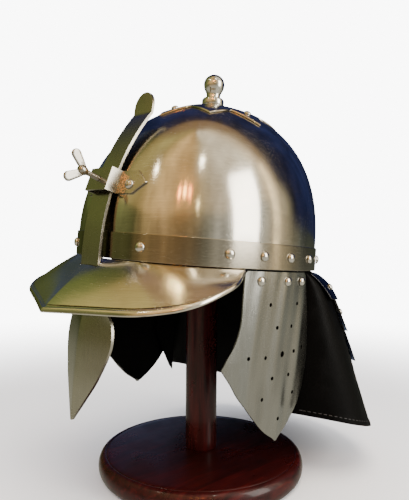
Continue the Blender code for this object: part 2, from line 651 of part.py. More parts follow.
def neck_leather(seat):
    """Leather skirt from one cheek plate round the back to the other, flaring down to its hem."""
    angles = neck_angles()
    rows = [-LEATHER_LAP / NECK_BACK_DROP, 0.0, *(np.linspace(0, 1, NECK_ROWS) ** 1.35)[1:]]
    skins = [[[neck_point(angle, down, lift) for angle in angles] for down in rows] for lift in (0.0, -LEATHER)]
    return sheet("neck_leather", *skins, BLACK, seat)


def neck_lame(seat, number, row):
    """One curved lame: its upper edge lies on the leather and its lower edge rides over the next lame."""
    top, bottom, first, last = row
    inside = [angle for angle in neck_angles() if abs(angle - math.pi / 2) < math.pi / 2 - math.radians(last) - 0.01]
    skins = []
    for thick in (LAME_THICK, 0.0):
        skin = []
        for share in (0.0, 0.5, 1.0):
            start = math.radians(first + (last - first) * share)
            lift = LAME_GAP + LAME_LIFT * share + thick
            down = top + (bottom - top) * share
            skin.append([neck_point(angle, down, lift) for angle in [start, *inside, math.pi - start]])
        skins.append(skin)
    return sheet(f"neck_lame_{number}", *skins, STEEL, seat)


def lame_rivets(seat):
    for number, (top, bottom, first, last) in enumerate(LAME_ROWS, 1):
        for side in (1, -1):
            share, step = 0.5, 0.02
            angle = math.radians(first + (last - first) * share + 7)
            down = top + (bottom - top) * share
            lift = LAME_GAP + LAME_LIFT * share + LAME_THICK
            place = neck_point(angle, down, lift)
            around = neck_point(angle + step, down, lift) - neck_point(angle - step, down, lift)
            slope = LAME_LIFT * step / (bottom - top)
            fall = neck_point(angle, down + step, lift + slope) - neck_point(angle, down - step, lift - slope)
            normal = np.cross(fall, around)
            normal = normal * (side, 1, 1)
            rivet(f"lame_rivet_{'left' if side > 0 else 'right'}_{number}", place * (side, 1, 1), normal, seat, radius=RIVET_RADIUS * 0.8)


# Stand

def stand_base(floor):
    """Turned disc with a half-round rim."""
    edge = BASE_RADIUS - BASE_FLAT
    half = BASE_HEIGHT / 2
    outline = [(BASE_FLAT + edge * math.cos(a), half + half * math.sin(a)) for a in np.radians(np.linspace(90, -90, 9))]
    return object_of("stand_base", turned_edit(outline, 40), WOOD, floor)


def stand_post(floor, seat):
    """Tapered post whose domed top comes up under the skull's crown."""
    angles = np.linspace(0, 2 * math.pi, 25)
    inside = np.concatenate([dome_point(angles, share, -SKULL_WALL) for share in np.linspace(0, 0.4, 33)])
    turn = np.array(seat.matrix_basis)
    inside = inside @ turn[:3, :3].T + turn[:3, 3]
    radius = np.hypot(inside[:, 0], inside[:, 1])
    under = radius < POST_TOP_RADIUS
    bulge = POST_DOME * (1 - (radius[under] / POST_TOP_RADIUS) ** 2)
    top = float((inside[under, 2] - bulge).min()) - SEAT_GAP * 2
    foot = BASE_HEIGHT + SEAT_GAP
    outline = [(POST_TOP_RADIUS * share, top + POST_DOME * (1 - share ** 2)) for share in (0.2, 0.5, 0.75, 0.92)]
    outline += [(POST_TOP_RADIUS, top), (POST_TOP_RADIUS, top - 0.004), (POST_FOOT_RADIUS, foot + 0.002), (POST_FOOT_RADIUS, foot)]
    return object_of("stand_post", turned_edit(outline, 24), WOOD, floor)


def empty(name, parent=None, location=(0, 0, 0), rotation=(0, 0, 0), order="XYZ"):
    made = bpy.data.objects.new(name, None)
    bpy.context.collection.objects.link(made)
    made.rotation_mode = order
    made.parent, made.location, made.rotation_euler = parent, location, rotation
    return made


def main():
    for thing in list(bpy.data.objects):
        bpy.data.objects.remove(thing, do_unlink=True)
    floor = empty("floor")
    seat = empty("helmet_seat", floor, (0, SEAT_FORWARD, SEAT_HEIGHT), (-TILT_BACK, LEAN_LEFT, 0), "YXZ")
    guard_pivot = empty("guard_pivot", seat, arc_centre())
    screw_foot, out, _ = arc_frame(BRACKET_UP)
    screw_pivot = empty("screw_pivot", seat, screw_foot, out.to_track_quat("Z", "X").to_euler())
    skull(seat)
    brow_band(seat)
    peak(seat, -bar_front())
    nasal_guard(guard_pivot)
    nasal_bracket(seat, screw_pivot)
    wing_screw(screw_pivot)
    crown_plate(seat)
    finial(seat)
    for side in (1, -1):
        cheek_plate(seat, side)
        cheek_lining(seat, side)
    neck_leather(seat)
    for number, row in enumerate(LAME_ROWS, 1):
        neck_lame(seat, number, row)
    lame_rivets(seat)
    stand_base(floor)
    stand_post(floor, seat)


main()
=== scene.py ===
"""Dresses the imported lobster-tail pot helmet and its stand for a studio picture.

Everything is in metres in the row's frame. The helmet's pieces are worked out upright in the helmet's own frame, with its
origin at the middle of the brow band's top edge, and then set on the post with seated().
"""

import math

import bmesh
import bpy
import numpy as np
from mathutils import Matrix, Vector


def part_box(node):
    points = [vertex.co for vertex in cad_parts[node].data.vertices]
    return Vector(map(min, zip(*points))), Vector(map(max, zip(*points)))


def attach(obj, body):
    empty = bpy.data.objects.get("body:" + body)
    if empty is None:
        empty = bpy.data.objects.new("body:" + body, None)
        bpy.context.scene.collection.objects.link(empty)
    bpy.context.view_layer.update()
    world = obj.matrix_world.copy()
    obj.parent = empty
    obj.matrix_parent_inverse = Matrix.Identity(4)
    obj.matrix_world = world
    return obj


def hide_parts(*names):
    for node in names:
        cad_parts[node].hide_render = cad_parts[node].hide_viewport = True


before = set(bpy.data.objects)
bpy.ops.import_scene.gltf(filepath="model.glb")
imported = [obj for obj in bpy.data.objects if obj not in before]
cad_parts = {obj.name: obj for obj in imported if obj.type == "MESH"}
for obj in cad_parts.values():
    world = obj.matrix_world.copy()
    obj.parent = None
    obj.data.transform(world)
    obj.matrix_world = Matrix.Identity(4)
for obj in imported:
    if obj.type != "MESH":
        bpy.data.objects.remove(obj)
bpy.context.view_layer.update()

TAU = 2 * math.pi

# How the helmet sits
SEAT_PLACE = np.array((0.0, 0.0, 0.230))
TILT_BACK, LEAN_LEFT = math.radians(2.0), math.radians(3.5)

# Skull and band
SKULL_HALF_WIDTH, SKULL_HALF_LENGTH, SKULL_HEIGHT, SKULL_WALL = 0.104, 0.120, 0.1327, 0.0016
PLAN_POWER, PLAN_SWING = 2.32, 0.17
RISE_POWER, RISE_SWING = 2.18, 0.20
BAND_DEPTH, BAND_THICK, BAND_OPEN = 0.0222, 0.0011, 0.0122
SEAT_GAP, SOFT_GAP = 0.0003, 0.0006
POLE = 1e-5  # what is left of a turned shape's radius at its pole, before its points are merged

# Peak
PEAK_THICK, PEAK_HALF_WIDTH, PEAK_REACH, PEAK_DROP, PEAK_FALL_POWER = 0.0015, 0.117, 0.1667, 0.0420, 0.85
PEAK_END, PEAK_LAP, PEAK_BEAD, PEAK_SWELL = math.radians(-24.8), 0.0022, 0.0018, 0.035
# Half the peak's edge: share of its half width, share of its reach
PEAK_RIM = ((0.975, 0.16), (1.0, 0.32), (0.992, 0.48), (0.940, 0.60), (0.862, 0.68), (0.780, 0.74), (0.690, 0.785),
            (0.560, 0.828), (0.40, 0.875), (0.22, 0.93), (0.08, 0.976))
# Groove inside the rolled edge: metres in from it, metres up
PEAK_GROOVE = ((0.0072, 0.0), (0.0060, -0.0001), (0.0052, -0.0006), (0.0044, -0.0009), (0.0036, -0.0007), (0.0030, 0.0001))
PEAK_COLUMNS = 160

# Nasal bar and guard
BAR_HALF_WIDTH, BAR_THICK, BAR_ARC, BAR_STANDOFF, BAR_ARC_LOW = 0.0135, 0.0024, 0.218, 0.0070, 0.0212
BAR_ARC_TOP, BAR_TAIL, BAR_TAIL_LEAN, BAR_ARC_FOOT = 0.108, 0.0200, math.radians(5), 0.050
GUARD_LENGTH, GUARD_HALF_WIDTH, GUARD_FORWARD, GUARD_FOLD = 0.1085, 0.0345, 0.0085, 0.29
# The leaf: share of its length, share of its half width, share of its fold
GUARD_SECTIONS = ((0.06, 0.42, 0.15), (0.12, 0.60, 0.45), (0.17, 0.80, 0.75), (0.23, 0.92, 0.95), (0.31, 0.985, 1.0),
                  (0.39, 1.0, 1.0), (0.48, 0.93, 1.0), (0.58, 0.80, 1.0), (0.69, 0.64, 1.0), (0.83, 0.37, 1.0), (0.94, 0.15, 1.0),
                  (1.0, 0.03, 1.0))
SLIDE_GAP = 0.0007

# Bracket and wing screw
BRACKET_UP, BRACKET_HALF_WIDTH, BRACKET_HALF_HEIGHT = 0.0415, 0.0160, 0.0102
BRACKET_DEPTH, BRACKET_WALL = 0.0125, 0.0014
FLANGE_REACH, FLANGE_GAP, FLANGE_RIVET = 0.0287, 0.0004, 0.0136
SCREW_RADIUS, SCREW_OUT, SCREW_GAP = 0.0024, 0.0125, 0.0004
HUB_RADIUS, HUB_LENGTH = 0.0040, 0.0075
HUB_OUTLINE = ((0.80, 0.0), (1.0, 0.3), (1.0, 0.6), (0.85, 0.85), (0.45, 1.0))
WING_SPREAD, WING_REACH, WING_TIP, WING_THICK = 0.0100, 0.0130, 0.0042, 0.0022
THREAD_PITCH, THREAD_DEPTH = 0.0011, 0.00022

# Crown plate and finial
CROWN_TIP, CROWN_VALLEY, CROWN_POINTS, CROWN_THICK, CROWN_GAP = 0.066, 0.049, 8, 0.0012, 0.0004
FINIAL_HEIGHT, FINIAL_BALL = 0.0340, 0.0105
# The knob from its top down: share of its height, share of the ball's radius
FINIAL_OUTLINE = ((0.99, 0.25), (0.95, 0.56), (0.87, 0.84), (0.77, 0.98), (0.67, 1.0), (0.56, 0.92), (0.46, 0.76),
                  (0.38, 0.675), (0.30, 0.68), (0.27, 0.96), (0.20, 1.07), (0.08, 1.07), (0.0, 1.0))

# Cheek plates
CHEEK_LENGTH, CHEEK_HALF_WIDTH, CHEEK_BACK, CHEEK_FLATTEN = 0.1485, 0.0480, 0.0045, 0.5
CHEEK_THICK, CHEEK_DROP, CHEEK_FACE = 0.0012, 0.0016, -0.0004
# Share of the plate's length, and its front and rear edges as shares of its half width
CHEEK_ROWS = ((0.0, -0.99, 0.76), (0.14, -1.0, 0.87), (0.30, -1.02, 0.97), (0.41, -1.13, 1.0), (0.485, -1.29, 1.01),
              (0.535, -1.40, 1.01), (0.61, -1.20, 0.985), (0.70, -0.99, 0.90), (0.78, -0.76, 0.77), (0.86, -0.52, 0.60),
              (0.93, -0.27, 0.38), (0.98, -0.02, 0.17), (1.0, 0.05, 0.10))
CHEEK_CORNER = 5
CHEEK_SLOW_RIPPLE, CHEEK_FAST_RIPPLE, CHEEK_ROUND = 0.00045, 0.00016, 0.0022
HOLE_RADIUS, MIDDLE_HOLE_RADIUS, HOLE_KNIFE = 0.0017, 0.0027, 0.003
CHEEK_HOLES = ((0.19, -0.34), (0.19, 0.49), (0.325, -0.12), (0.325, 0.34), (0.485, -0.82), (0.495, -0.37), (0.48, 0.47),
               (0.465, 0.75), (0.62, -0.16), (0.62, 0.36), (0.735, -0.38), (0.735, 0.52), (0.87, 0.10))
MIDDLE_HOLE = (0.487, 0.10)
CHEEK_RIVETS = ((0.055, -0.63), (0.055, 0.10), (0.055, 0.60))
LEATHER, LINING_INSET, LEATHER_LAP = 0.0020, 0.0022, 0.0130

# Neck guard
NECK_START, NECK_FLARE_START = math.radians(15), math.radians(29)
NECK_LAP_END, NECK_LAP_RISE = math.radians(28), 0.030
NECK_SIDE_DROP, NECK_BACK_DROP, NECK_FLARE = 0.120, 0.170, 0.068
NECK_SHOULDER, NECK_SHOULDER_RUN, NECK_FULLNESS = 0.0180, 0.05, 0.27
LEATHER_WAVE, HEM_SWELL, HEM_SEAM, HEM_START = 0.0006, 0.0007, 0.00045, 0.965
LAME_THICK, LAME_GAP, LAME_LIFT = 0.0012, 0.0010, 0.0028
# Each lame: shares of the drop at its top and bottom edges, degrees round from the left at its ends there
LAME_ROWS = ((0.012, 0.175, 31, 35), (0.135, 0.385, 41, 46), (0.345, 0.585, 47, 51), (0.545, 0.82, 53, 59))
STITCH_STEP, STITCH_LENGTH, STITCH_RADIUS, STITCH_INSET = 0.0050, 0.0036, 0.00045, 0.0055

# Rivets
RIVET_RADIUS, RIVET_RISE, RIVET_GAP = 0.0043, 0.0026, 0.0004
SMALL_RIVET = RIVET_RADIUS * 0.8
# Metres round the rim from the middle of the front
BAND_RIVETS = (0.050, 0.1225, 0.157, 0.1915, 0.226, 0.2605, 0.295, 0.3295)

# Stand
BASE_RADIUS, BASE_HEIGHT, BASE_FLAT = 0.1015, 0.0202, 0.0949
# Groove in the base's top: metres in from the rim's round, metres down
BASE_GROOVE = ((0.0016, 0.0001), (0.0011, 0.0007), (0.0006, 0.0007), (0.0003, 0.0002))
POST_FOOT_RADIUS, POST_TOP_RADIUS, POST_DOME = 0.0156, 0.0164, 0.006

# Camera
CAMERA_BEARING, CAMERA_DISTANCE, CAMERA_HEIGHT = math.radians(46.5614), 0.4908, 0.2127
CAMERA_YAW, CAMERA_PITCH, CAMERA_ROLL = math.radians(-0.2508), math.radians(-0.8275), math.radians(0.4638)
FOCAL_PIXELS, FRAME_PIXELS, SENSOR_HEIGHT = 479.7, 500, 36.0
AIM_HEIGHT = 0.22  # of the lights

MIRROR = np.array((-1, 1, 1))

# Blender's names for the nodes used most
COORDINATES, MAPPING, NOISE = "ShaderNodeTexCoord", "ShaderNodeMapping", "ShaderNodeTexNoise"
MATH, MIX, RAMP, BUMP = "ShaderNodeMath", "ShaderNodeMix", "ShaderNodeValToRGB", "ShaderNodeBump"
RANGE, MULTIPLY_ADD = "ShaderNodeMapRange", {"operation": "MULTIPLY_ADD"}
COLOURS, SMOOTHLY = {"data_type": "RGBA"}, {"interpolation_type": "SMOOTHSTEP"}


# Shape of the helmet, as whole arrays

def turn_about_x(a):
    return np.array(((1, 0, 0), (0, math.cos(a), -math.sin(a)), (0, math.sin(a), math.cos(a))))


def turn_about_y(a):
    return np.array(((math.cos(a), 0, math.sin(a)), (0, 1, 0), (-math.sin(a), 0, math.cos(a))))


SEAT_TURN = turn_about_x(-TILT_BACK) @ turn_about_y(LEAN_LEFT)


def seated(points):
    """Helmet frame to row frame: turn, then move."""
    return np.asarray(points, float) @ SEAT_TURN.T + SEAT_PLACE


def plan_radius(angle, out=0.0):
    """Superellipse in plan: |cos/wide|^p + |sin/long|^p = r^-p, with p squarer at the front."""
    power = PLAN_POWER - PLAN_SWING * np.sin(angle)
    wide, long = SKULL_HALF_WIDTH + out, SKULL_HALF_LENGTH + out
    return (np.abs(np.cos(angle) / wide) ** power + np.abs(np.sin(angle) / long) ** power) ** (-1 / power)


def wall(angle, z, out=0.0):
    """Upright rim: the plan lifted to z."""
    r = plan_radius(angle, out)
    return np.stack(np.broadcast_arrays(r * np.cos(angle), r * np.sin(angle), z), -1)


def dome(angle, share, out=0.0):
    """Dome: z = height (1 - share^e)^(1/e) over a share of the plan's radius."""
    power = RISE_POWER + RISE_SWING * np.sin(angle)
    r = plan_radius(angle, out) * share
    z = (SKULL_HEIGHT + out) * np.clip(1 - share ** power, 0, 1) ** (1 / power)
    return np.stack(np.broadcast_arrays(r * np.cos(angle), r * np.sin(angle), z), -1)


def dome_over(x, y, out=0.0):
    angle = np.arctan2(y, x)
    return dome(angle, np.hypot(x, y) / plan_radius(angle, out), out)


def brow(x, z, out=0.0):
    """Point of the forehead at x and z: the distance forward is halved down on until the dome's height matches."""
    x, z = np.broadcast_arrays(np.asarray(x, float), np.asarray(z, float))
    near, far = np.zeros(x.shape), np.full(x.shape, SKULL_HALF_LENGTH + abs(out) + 0.01)
    for _ in range(40):
        middle = (near + far) / 2
        in_plan = np.hypot(x, middle) < plan_radius(np.arctan2(-middle, x), out)
        inside = in_plan & (dome_over(x, -middle, out)[..., 2] > z)
        near, far = np.where(inside, middle, near), np.where(inside, far, middle)
    return np.stack((x, -near, z), -1)


def girth_angle(length):
    """Angle of the place a length round the rim from the middle of the front."""
    angles = np.linspace(-math.pi / 2, math.pi / 2, 721)
    run = np.concatenate([[0], np.cumsum(np.linalg.norm(np.diff(wall(angles, 0.0), axis=0), axis=1))])
    return np.interp(length, run, angles)


def side_x(y, out=0.0):
    """Half width of the plan at y, by repeated substitution."""
    angle = np.arctan2(y, SKULL_HALF_WIDTH)
    for _ in range(30):
        angle = np.arctan2(y, plan_radius(angle, out) * np.cos(angle))
    return plan_radius(angle, out) * np.cos(angle)


def smooth_line(knots, count):
    """Catmull and Rom's curve through the knots, evenly shared by its parameter."""
    knots = np.asarray(knots, float)
    knots = np.concatenate([[2 * knots[0] - knots[1]], knots, [2 * knots[-1] - knots[-2]]])
    place = np.linspace(0, len(knots) - 3 - 1e-9, count)
    k, t = place.astype(int), (place % 1)[:, None]
    a, b, c, d = knots[k], knots[k + 1], knots[k + 2], knots[k + 3]
    return 0.5 * (2 * b + (c - a) * t + (2 * a - 5 * b + 4 * c - d) * t ** 2 + (3 * b - a - 3 * c + d) * t ** 3)


def unit(v):
    return v / np.maximum(np.linalg.norm(v, axis=-1, keepdims=True), 1e-12)


# Materials

def linear(hex_colour):
    """sRGB hex to Blender's linear colour."""
    parts = [int(hex_colour[i:i + 2], 16) / 255 for i in (1, 3, 5)]
    return (*(c / 12.92 if c <= 0.04045 else ((c + 0.055) / 1.055) ** 2.4 for c in parts), 1.0)


def fill(tree, node, settings):
    """Sets a node's properties and inputs.

    Each setting is a property of the node, or one of its inputs by name or number. Another node's output is linked to the
    input, and a plain value is set on it. Stops are a colour ramp's blending with its places and colours.
    """
    for key, value in settings.items():
        if key == "stops":
            node.color_ramp.interpolation, stops = value
            while len(node.color_ramp.elements) < len(stops):
                node.color_ramp.elements.new(0.5)
            for element, (place, colour) in zip(node.color_ramp.elements, stops):
                element.position, element.color = place, colour
        elif isinstance(key, str) and key not in node.inputs:
            setattr(node, key, value)
        elif isinstance(value, bpy.types.NodeSocket):
            tree.links.new(value, node.inputs[key])
        else:
            node.inputs[key].default_value = value
    return node


def add(tree, kind, settings, out=0):
    """Adds a node with its settings and gives one of its outputs."""
    return fill(tree, tree.nodes.new(kind), settings).outputs[out]


def grey(value):
    return (value, value, value, 1.0)


def new_material(name):
    made = bpy.data.materials.new(name)
    made.use_nodes = True
    return made, made.node_tree, made.node_tree.nodes["Principled BSDF"]


def steel(name, colour, rough, lines, ripple, tarnish="#6d675c", tarnish_share=0.22, drawn=0.0):
    """Polished mild steel: fine brushing along the way it was buffed, smudges, hairline scratches and hammer ripple,
    with painted shade that darkens the colour in the brushing's hollows.

    lines is "round" where the buffing runs round the post, or the axis that the brushing is drawn out along. drawn is
    how far the reflections are drawn out across lines that run round the post. The brushing is about 1 mm apart,
    coarser than the real one, which is too fine to show.
    """
    made, tree, shader = new_material(name)
    place = add(tree, COORDINATES, {}, "Object")
    if lines == "round":
        x, y, z = add(tree, "ShaderNodeSeparateXYZ", {0: place}).node.outputs
        turn = add(tree, MATH, {"operation": "ARCTAN2", 0: y, 1: x})
        arc = add(tree, MATH, {"operation": "MULTIPLY", 0: turn, 1: 0.05})
        square_x, square_y = (add(tree, MATH, {"operation": "MULTIPLY", 0: part, 1: part}) for part in (x, y))
        square = add(tree, MATH, {"operation": "ADD", 0: square_x, 1: square_y})
        radius = add(tree, MATH, {"operation": "SQRT", 0: square})
        along = add(tree, "ShaderNodeCombineXYZ", {0: arc, 1: radius, 2: z})
        brushing = add(tree, MAPPING, {"Vector": along, "Scale": (22, 900, 900)})
    else:
        scale = [1300.0] * 3
        scale["XYZ".index(lines)] = 26.0
        brushing = add(tree, MAPPING, {"Vector": place, "Scale": scale})
    grooves = add(tree, NOISE, {"Vector": brushing, "Scale": 1.0, "Detail": 4.0, "Roughness": 0.65})
    finer_lines = add(tree, MAPPING, {"Vector": brushing, "Scale": (2.3, 2.6, 2.6)})
    fine = add(tree, NOISE, {"Vector": finer_lines, "Scale": 1.0})
    smudge = add(tree, NOISE, {"Vector": place, "Scale": 22.0, "Detail": 4.0, "Roughness": 0.6, "Distortion": 0.4})
    cloud = add(tree, NOISE, {"Vector": place, "Scale": 75.0, "Detail": 3.0, "Roughness": 0.6})
    drawn_out = add(tree, MAPPING, {"Vector": place, "Scale": (60, 420, 900)})
    hairs = add(tree, NOISE, {"Vector": drawn_out, "Scale": 1.0, "Detail": 1.0, "Roughness": 0.3, "Distortion": 2.0})
    scratch = add(tree, RAMP, {"Fac": hairs, "stops": ("LINEAR", (
        (0.0, grey(0)), (0.70, grey(0)), (0.735, grey(1)), (0.77, grey(0))))})
    worn = add(tree, RAMP, {"Fac": smudge, "stops": ("EASE", ((0.38, grey(0)), (0.72, grey(1))))})
    tarnished = add(tree, MATH, {"operation": "MULTIPLY", 0: worn, 1: tarnish_share})
    base = add(tree, MIX, {**COLOURS, 0: tarnished, 6: linear(colour), 7: linear(tarnish)}, 2)
    # Painted shade: the colour is darkened by up to a tenth where the brushing grooves sink.
    painted_groove_shade = add(tree, RAMP, {"Fac": grooves, "stops": ("EASE", ((0.30, grey(0.90)), (0.72, grey(1.0))))})
    uneven = rough - 0.06
    for pattern, share in ((worn, 0.06), (grooves, 0.10), (scratch, 0.12)):
        uneven = add(tree, MATH, {"operation": "MULTIPLY_ADD", 0: pattern, 1: share, 2: uneven})
    shallow = add(tree, BUMP, {"Strength": 1.0, "Distance": 0.0000035, "Height": grooves})
    finer = add(tree, BUMP, {"Strength": 1.0, "Distance": 0.000002, "Height": fine, "Normal": shallow})
    hammer = add(tree, BUMP, {"Strength": 1.0, "Distance": ripple, "Height": cloud, "Normal": finer})
    fill(tree, shader, {"Base Color": add(tree, MIX, {**COLOURS, "blend_type": "MULTIPLY", 0: 1.0, 6: base, 7: painted_groove_shade}, 2),
                        "Roughness": uneven, "Metallic": 1.0, "Normal": hammer})
    if drawn:
        around = add(tree, "ShaderNodeTangent", {"direction_type": "RADIAL", "axis": "Z"})
        fill(tree, shader, {"Tangent": around, "Anisotropic": drawn, "Anisotropic Rotation": 0.25})
    return made


def leather(name, colour, rough, crease):
    """Waxed black leather: pebbled grain about 1 mm across, finer pores, rubbed patches and broad creases."""
    made, tree, shader = new_material(name)
    place = add(tree, COORDINATES, {}, "Object")
    cells = add(tree, "ShaderNodeTexVoronoi", {"feature": "SMOOTH_F1", "Vector": place, "Scale": 850.0, "Smoothness": 0.6},
                "Distance")
    pores = add(tree, NOISE, {"Vector": place, "Scale": 2600.0})
    upright = add(tree, MAPPING, {"Vector": place, "Scale": (38, 38, 13)})
    folds = add(tree, NOISE, {"Vector": upright, "Scale": 1.0, "Detail": 4.0, "Roughness": 0.55, "Distortion": 0.8})
    patches = add(tree, NOISE, {"Vector": place, "Scale": 30.0, "Detail": 5.0, "Roughness": 0.6, "Distortion": 0.5})
    rubbed = add(tree, RAMP, {"Fac": patches, "stops": ("EASE", ((0.42, grey(0)), (0.75, grey(1))))})
    half_rubbed = add(tree, MATH, {"operation": "MULTIPLY", 0: rubbed, 1: 0.5})
    grain = add(tree, BUMP, {"Strength": 0.7, "Distance": 0.00010, "Height": cells})
    pore = add(tree, BUMP, {"Strength": 0.5, "Distance": 0.00004, "Height": pores, "Normal": grain})
    fold = add(tree, BUMP, {"Strength": 1.0, "Distance": crease, "Height": folds, "Normal": pore})
    fill(tree, shader, {"Base Color": add(tree, MIX, {**COLOURS, 0: half_rubbed, 6: linear(colour), 7: linear("#090909")}, 2),
                        "Roughness": add(tree, MATH, {"operation": "MULTIPLY_ADD", 0: rubbed, 1: 0.22, 2: rough}),
                        "Normal": fold, "Specular IOR Level": 0.05})
    return made


def mahogany(name, grain_scale):
    """Mahogany under red-brown gloss varnish: straight dark figure along the grain, pores, and a clear coat."""
    made, tree, shader = new_material(name)
    place = add(tree, COORDINATES, {}, "Object")
    along = add(tree, MAPPING, {"Vector": place, "Scale": grain_scale})
    figure = add(tree, NOISE, {"Vector": along, "Scale": 1.0, "Detail": 6.0, "Roughness": 0.6, "Distortion": 1.2})
    fine = add(tree, MAPPING, {"Vector": place, "Scale": tuple(4.5 * s for s in grain_scale)})
    pores = add(tree, NOISE, {"Vector": fine, "Scale": 1.0})
    depth = add(tree, RAMP, {"Fac": figure, "stops": ("EASE", (
        (0.30, linear("#1a0707")), (0.50, linear("#2b0a0a")), (0.68, linear("#3c0f0e"))))})
    dark = add(tree, RAMP, {"Fac": pores, "stops": ("EASE", ((0.34, grey(0.80)), (0.46, grey(1.0))))})
    pored = add(tree, MIX, {**COLOURS, "blend_type": "MULTIPLY", 0: 1.0, 6: depth, 7: dark}, 2)
    wipe = add(tree, NOISE, {"Vector": place, "Scale": 34.0, "Detail": 3.0, "Roughness": 0.55})
    wiped = add(tree, RAMP, {"Fac": wipe, "stops": ("EASE", ((0.35, grey(0.26)), (0.7, grey(0.40))))})
    fill(tree, shader, {"Base Color": add(tree, MIX, {**COLOURS, 0: 0.6, 6: depth, 7: pored}, 2),
                        "Roughness": wiped,
                        "Normal": add(tree, BUMP, {"Strength": 0.6, "Distance": 0.00004, "Height": pores}),
                        "Specular IOR Level": 0.18, "Coat Weight": 0.22, "Coat Roughness": 0.10})
    return made


def thread_material():
    """Waxed black linen thread, its twist shown as painted light and shade in lighter and darker bands."""
    made, tree, shader = new_material("waxed_thread")
    place = add(tree, COORDINATES, {}, "Object")
    twist = add(tree, "ShaderNodeTexWave", {"wave_type": "BANDS", "bands_direction": "DIAGONAL", "Vector": place, "Scale": 500.0},
                "Fac")
    # Painted light and shade: the twist is lighter and darker diagonal bands of colour, not shape.
    twist_painted_shade = add(tree, RAMP, {"Fac": twist, "stops": ("EASE", ((0.2, linear("#0c0c0d")), (0.8, linear("#2b2a2c"))))})
    fill(tree, shader, {"Base Color": twist_painted_shade, "Roughness": 0.55})
    return made


# Building

def mesh_of(name, points, faces):
    mesh = bpy.data.meshes.new(name)
    mesh.from_pydata(np.asarray(points).reshape(-1, 3).tolist(), [], [tuple(face) for face in faces])
    return mesh


def linked(name, data):
    """New object of the data, in the scene."""
    made = bpy.data.objects.new(name, data)
    bpy.context.collection.objects.link(made)
    return made


def dressed(name, points, faces, material, nodes, slot, body="helmet_and_stand", sharp=38.0, merge=1e-6):
    mesh = mesh_of(name, points, faces)
    edit = bmesh.new()
    edit.from_mesh(mesh)
    bmesh.ops.remove_doubles(edit, verts=edit.verts, dist=merge)
    bmesh.ops.dissolve_degenerate(edit, edges=edit.edges, dist=1e-7)
    bmesh.ops.recalc_face_normals(edit, faces=edit.faces)
    edit.to_mesh(mesh)
    edit.free()
    mesh.shade_smooth()
    mesh.set_sharp_from_angle(angle=math.radians(sharp))
    mesh.materials.append(material)
    made = linked(name, mesh)
    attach(made, body)
    if nodes:
        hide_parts(*nodes)
    return made


def quads(rows, columns, wrap=False, start=0, flip=False):
    """Quads of a grid of rows by columns; wrap joins the last column to the first."""
    i, j = np.meshgrid(np.arange(rows - 1), np.arange(columns if wrap else columns - 1), indexing="ij")
    this, following, k = i * columns, (i + 1) * columns, (j + 1) % columns
    faces = np.stack((this + j, this + k, following + k, following + j), -1).reshape(-1, 4) + start
    return faces[:, ::-1] if flip else faces


def rim_strip(rim, size):
    """Quads that join a rim of an outer grid to the same rim of the inner grid, size points later."""
    return np.stack((rim, np.roll(rim, -1), np.roll(rim, -1) + size, rim + size), -1)


def plate_faces(rows, columns, wrap):
    """Faces of a wall between an outer and an inner grid, with its rim closed."""
    size = rows * columns
    if wrap:
        rims = [np.arange(columns), np.arange(columns)[::-1] + (rows - 1) * columns]
    else:
        first, last = np.arange(columns), np.arange(columns)[::-1] + (rows - 1) * columns
        right, left = np.arange(1, rows - 1) * columns + columns - 1, np.arange(rows - 2, 0, -1) * columns
        rims = [np.concatenate([first, right, last, left])]
    strips = [rim_strip(rim, size) for rim in rims]
    return np.concatenate([quads(rows, columns, wrap), quads(rows, columns, wrap, size, True), *strips])


def bowl_faces(rows, columns):
    """Faces of a wall between two grids that wrap round, open at the first row and closed to a point at the last."""
    size = rows * columns
    rim = rim_strip(np.arange(columns), size)
    return np.concatenate([quads(rows, columns, True), quads(rows, columns, True, size, True), rim])


def plate(name, outer, inner, material, nodes, slot, wrap=False, edge=0.0004, **more):
    """A sheet between two grids of points in the row frame, its edges eased by a small round."""
    rows, columns = outer.shape[:2]
    made = dressed(name, np.concatenate([outer.reshape(-1, 3), inner.reshape(-1, 3)]), plate_faces(rows, columns, wrap),
                   material, nodes, slot, **more)
    if edge:
        ease(made, edge)
    return made


def ease(made, width, segments=3):
    change = made.modifiers.new("eased edge", "BEVEL")
    change.width, change.segments, change.limit_method, change.angle_limit = width, segments, "ANGLE", math.radians(48)
    change.harden_normals, change.use_clamp_overlap = True, True


def ring_loft(name, loops, material, nodes, slot, edge=0.0, **more):
    """A solid through closed loops, an array of loops by points, with both ends capped."""
    loops = np.asarray(loops, float)
    count, size = loops.shape[:2]
    faces = [tuple(face) for face in quads(count, size, True)]
    faces += [tuple(range(size))[::-1], tuple(range((count - 1) * size, count * size))]
    made = dressed(name, loops, faces, material, nodes, slot, **more)
    if edge:
        ease(made, edge)
    return made


def turned_grid(outline, sides):
    """Points of a solid of revolution about Z: (r cos a, r sin a, z) for each (r, z)."""
    outline, angles = np.asarray(outline, float), np.arange(sides) * TAU / sides
    r, z = outline[:, :1], outline[:, 1:]
    return np.stack(np.broadcast_arrays(r * np.cos(angles), r * np.sin(angles), z), -1)


def cutter(name, points, faces):
    mesh = mesh_of(name, points, faces)
    edit = bmesh.new()
    edit.from_mesh(mesh)
    bmesh.ops.recalc_face_normals(edit, faces=edit.faces)
    edit.to_mesh(mesh)
    edit.free()
    return linked(name, mesh)


def cut(target, knife):
    """Cuts the knife's shape out of the target for good, and removes the knife."""
    change = target.modifiers.new("cut", "BOOLEAN")
    change.operation, change.object, change.solver = "DIFFERENCE", knife, "EXACT"
    settle(target)
    bpy.data.objects.remove(knife, do_unlink=True)


def settle(target, sharp=38.0):
    """Makes the modifiers' result the mesh itself."""
    graph = bpy.context.evaluated_depsgraph_get()
    settled = bpy.data.meshes.new_from_object(target.evaluated_get(graph))
    target.modifiers.clear()
    old = target.data
    target.data = settled
    bpy.data.meshes.remove(old)
    settled.shade_smooth()
    settled.set_sharp_from_angle(angle=math.radians(sharp))


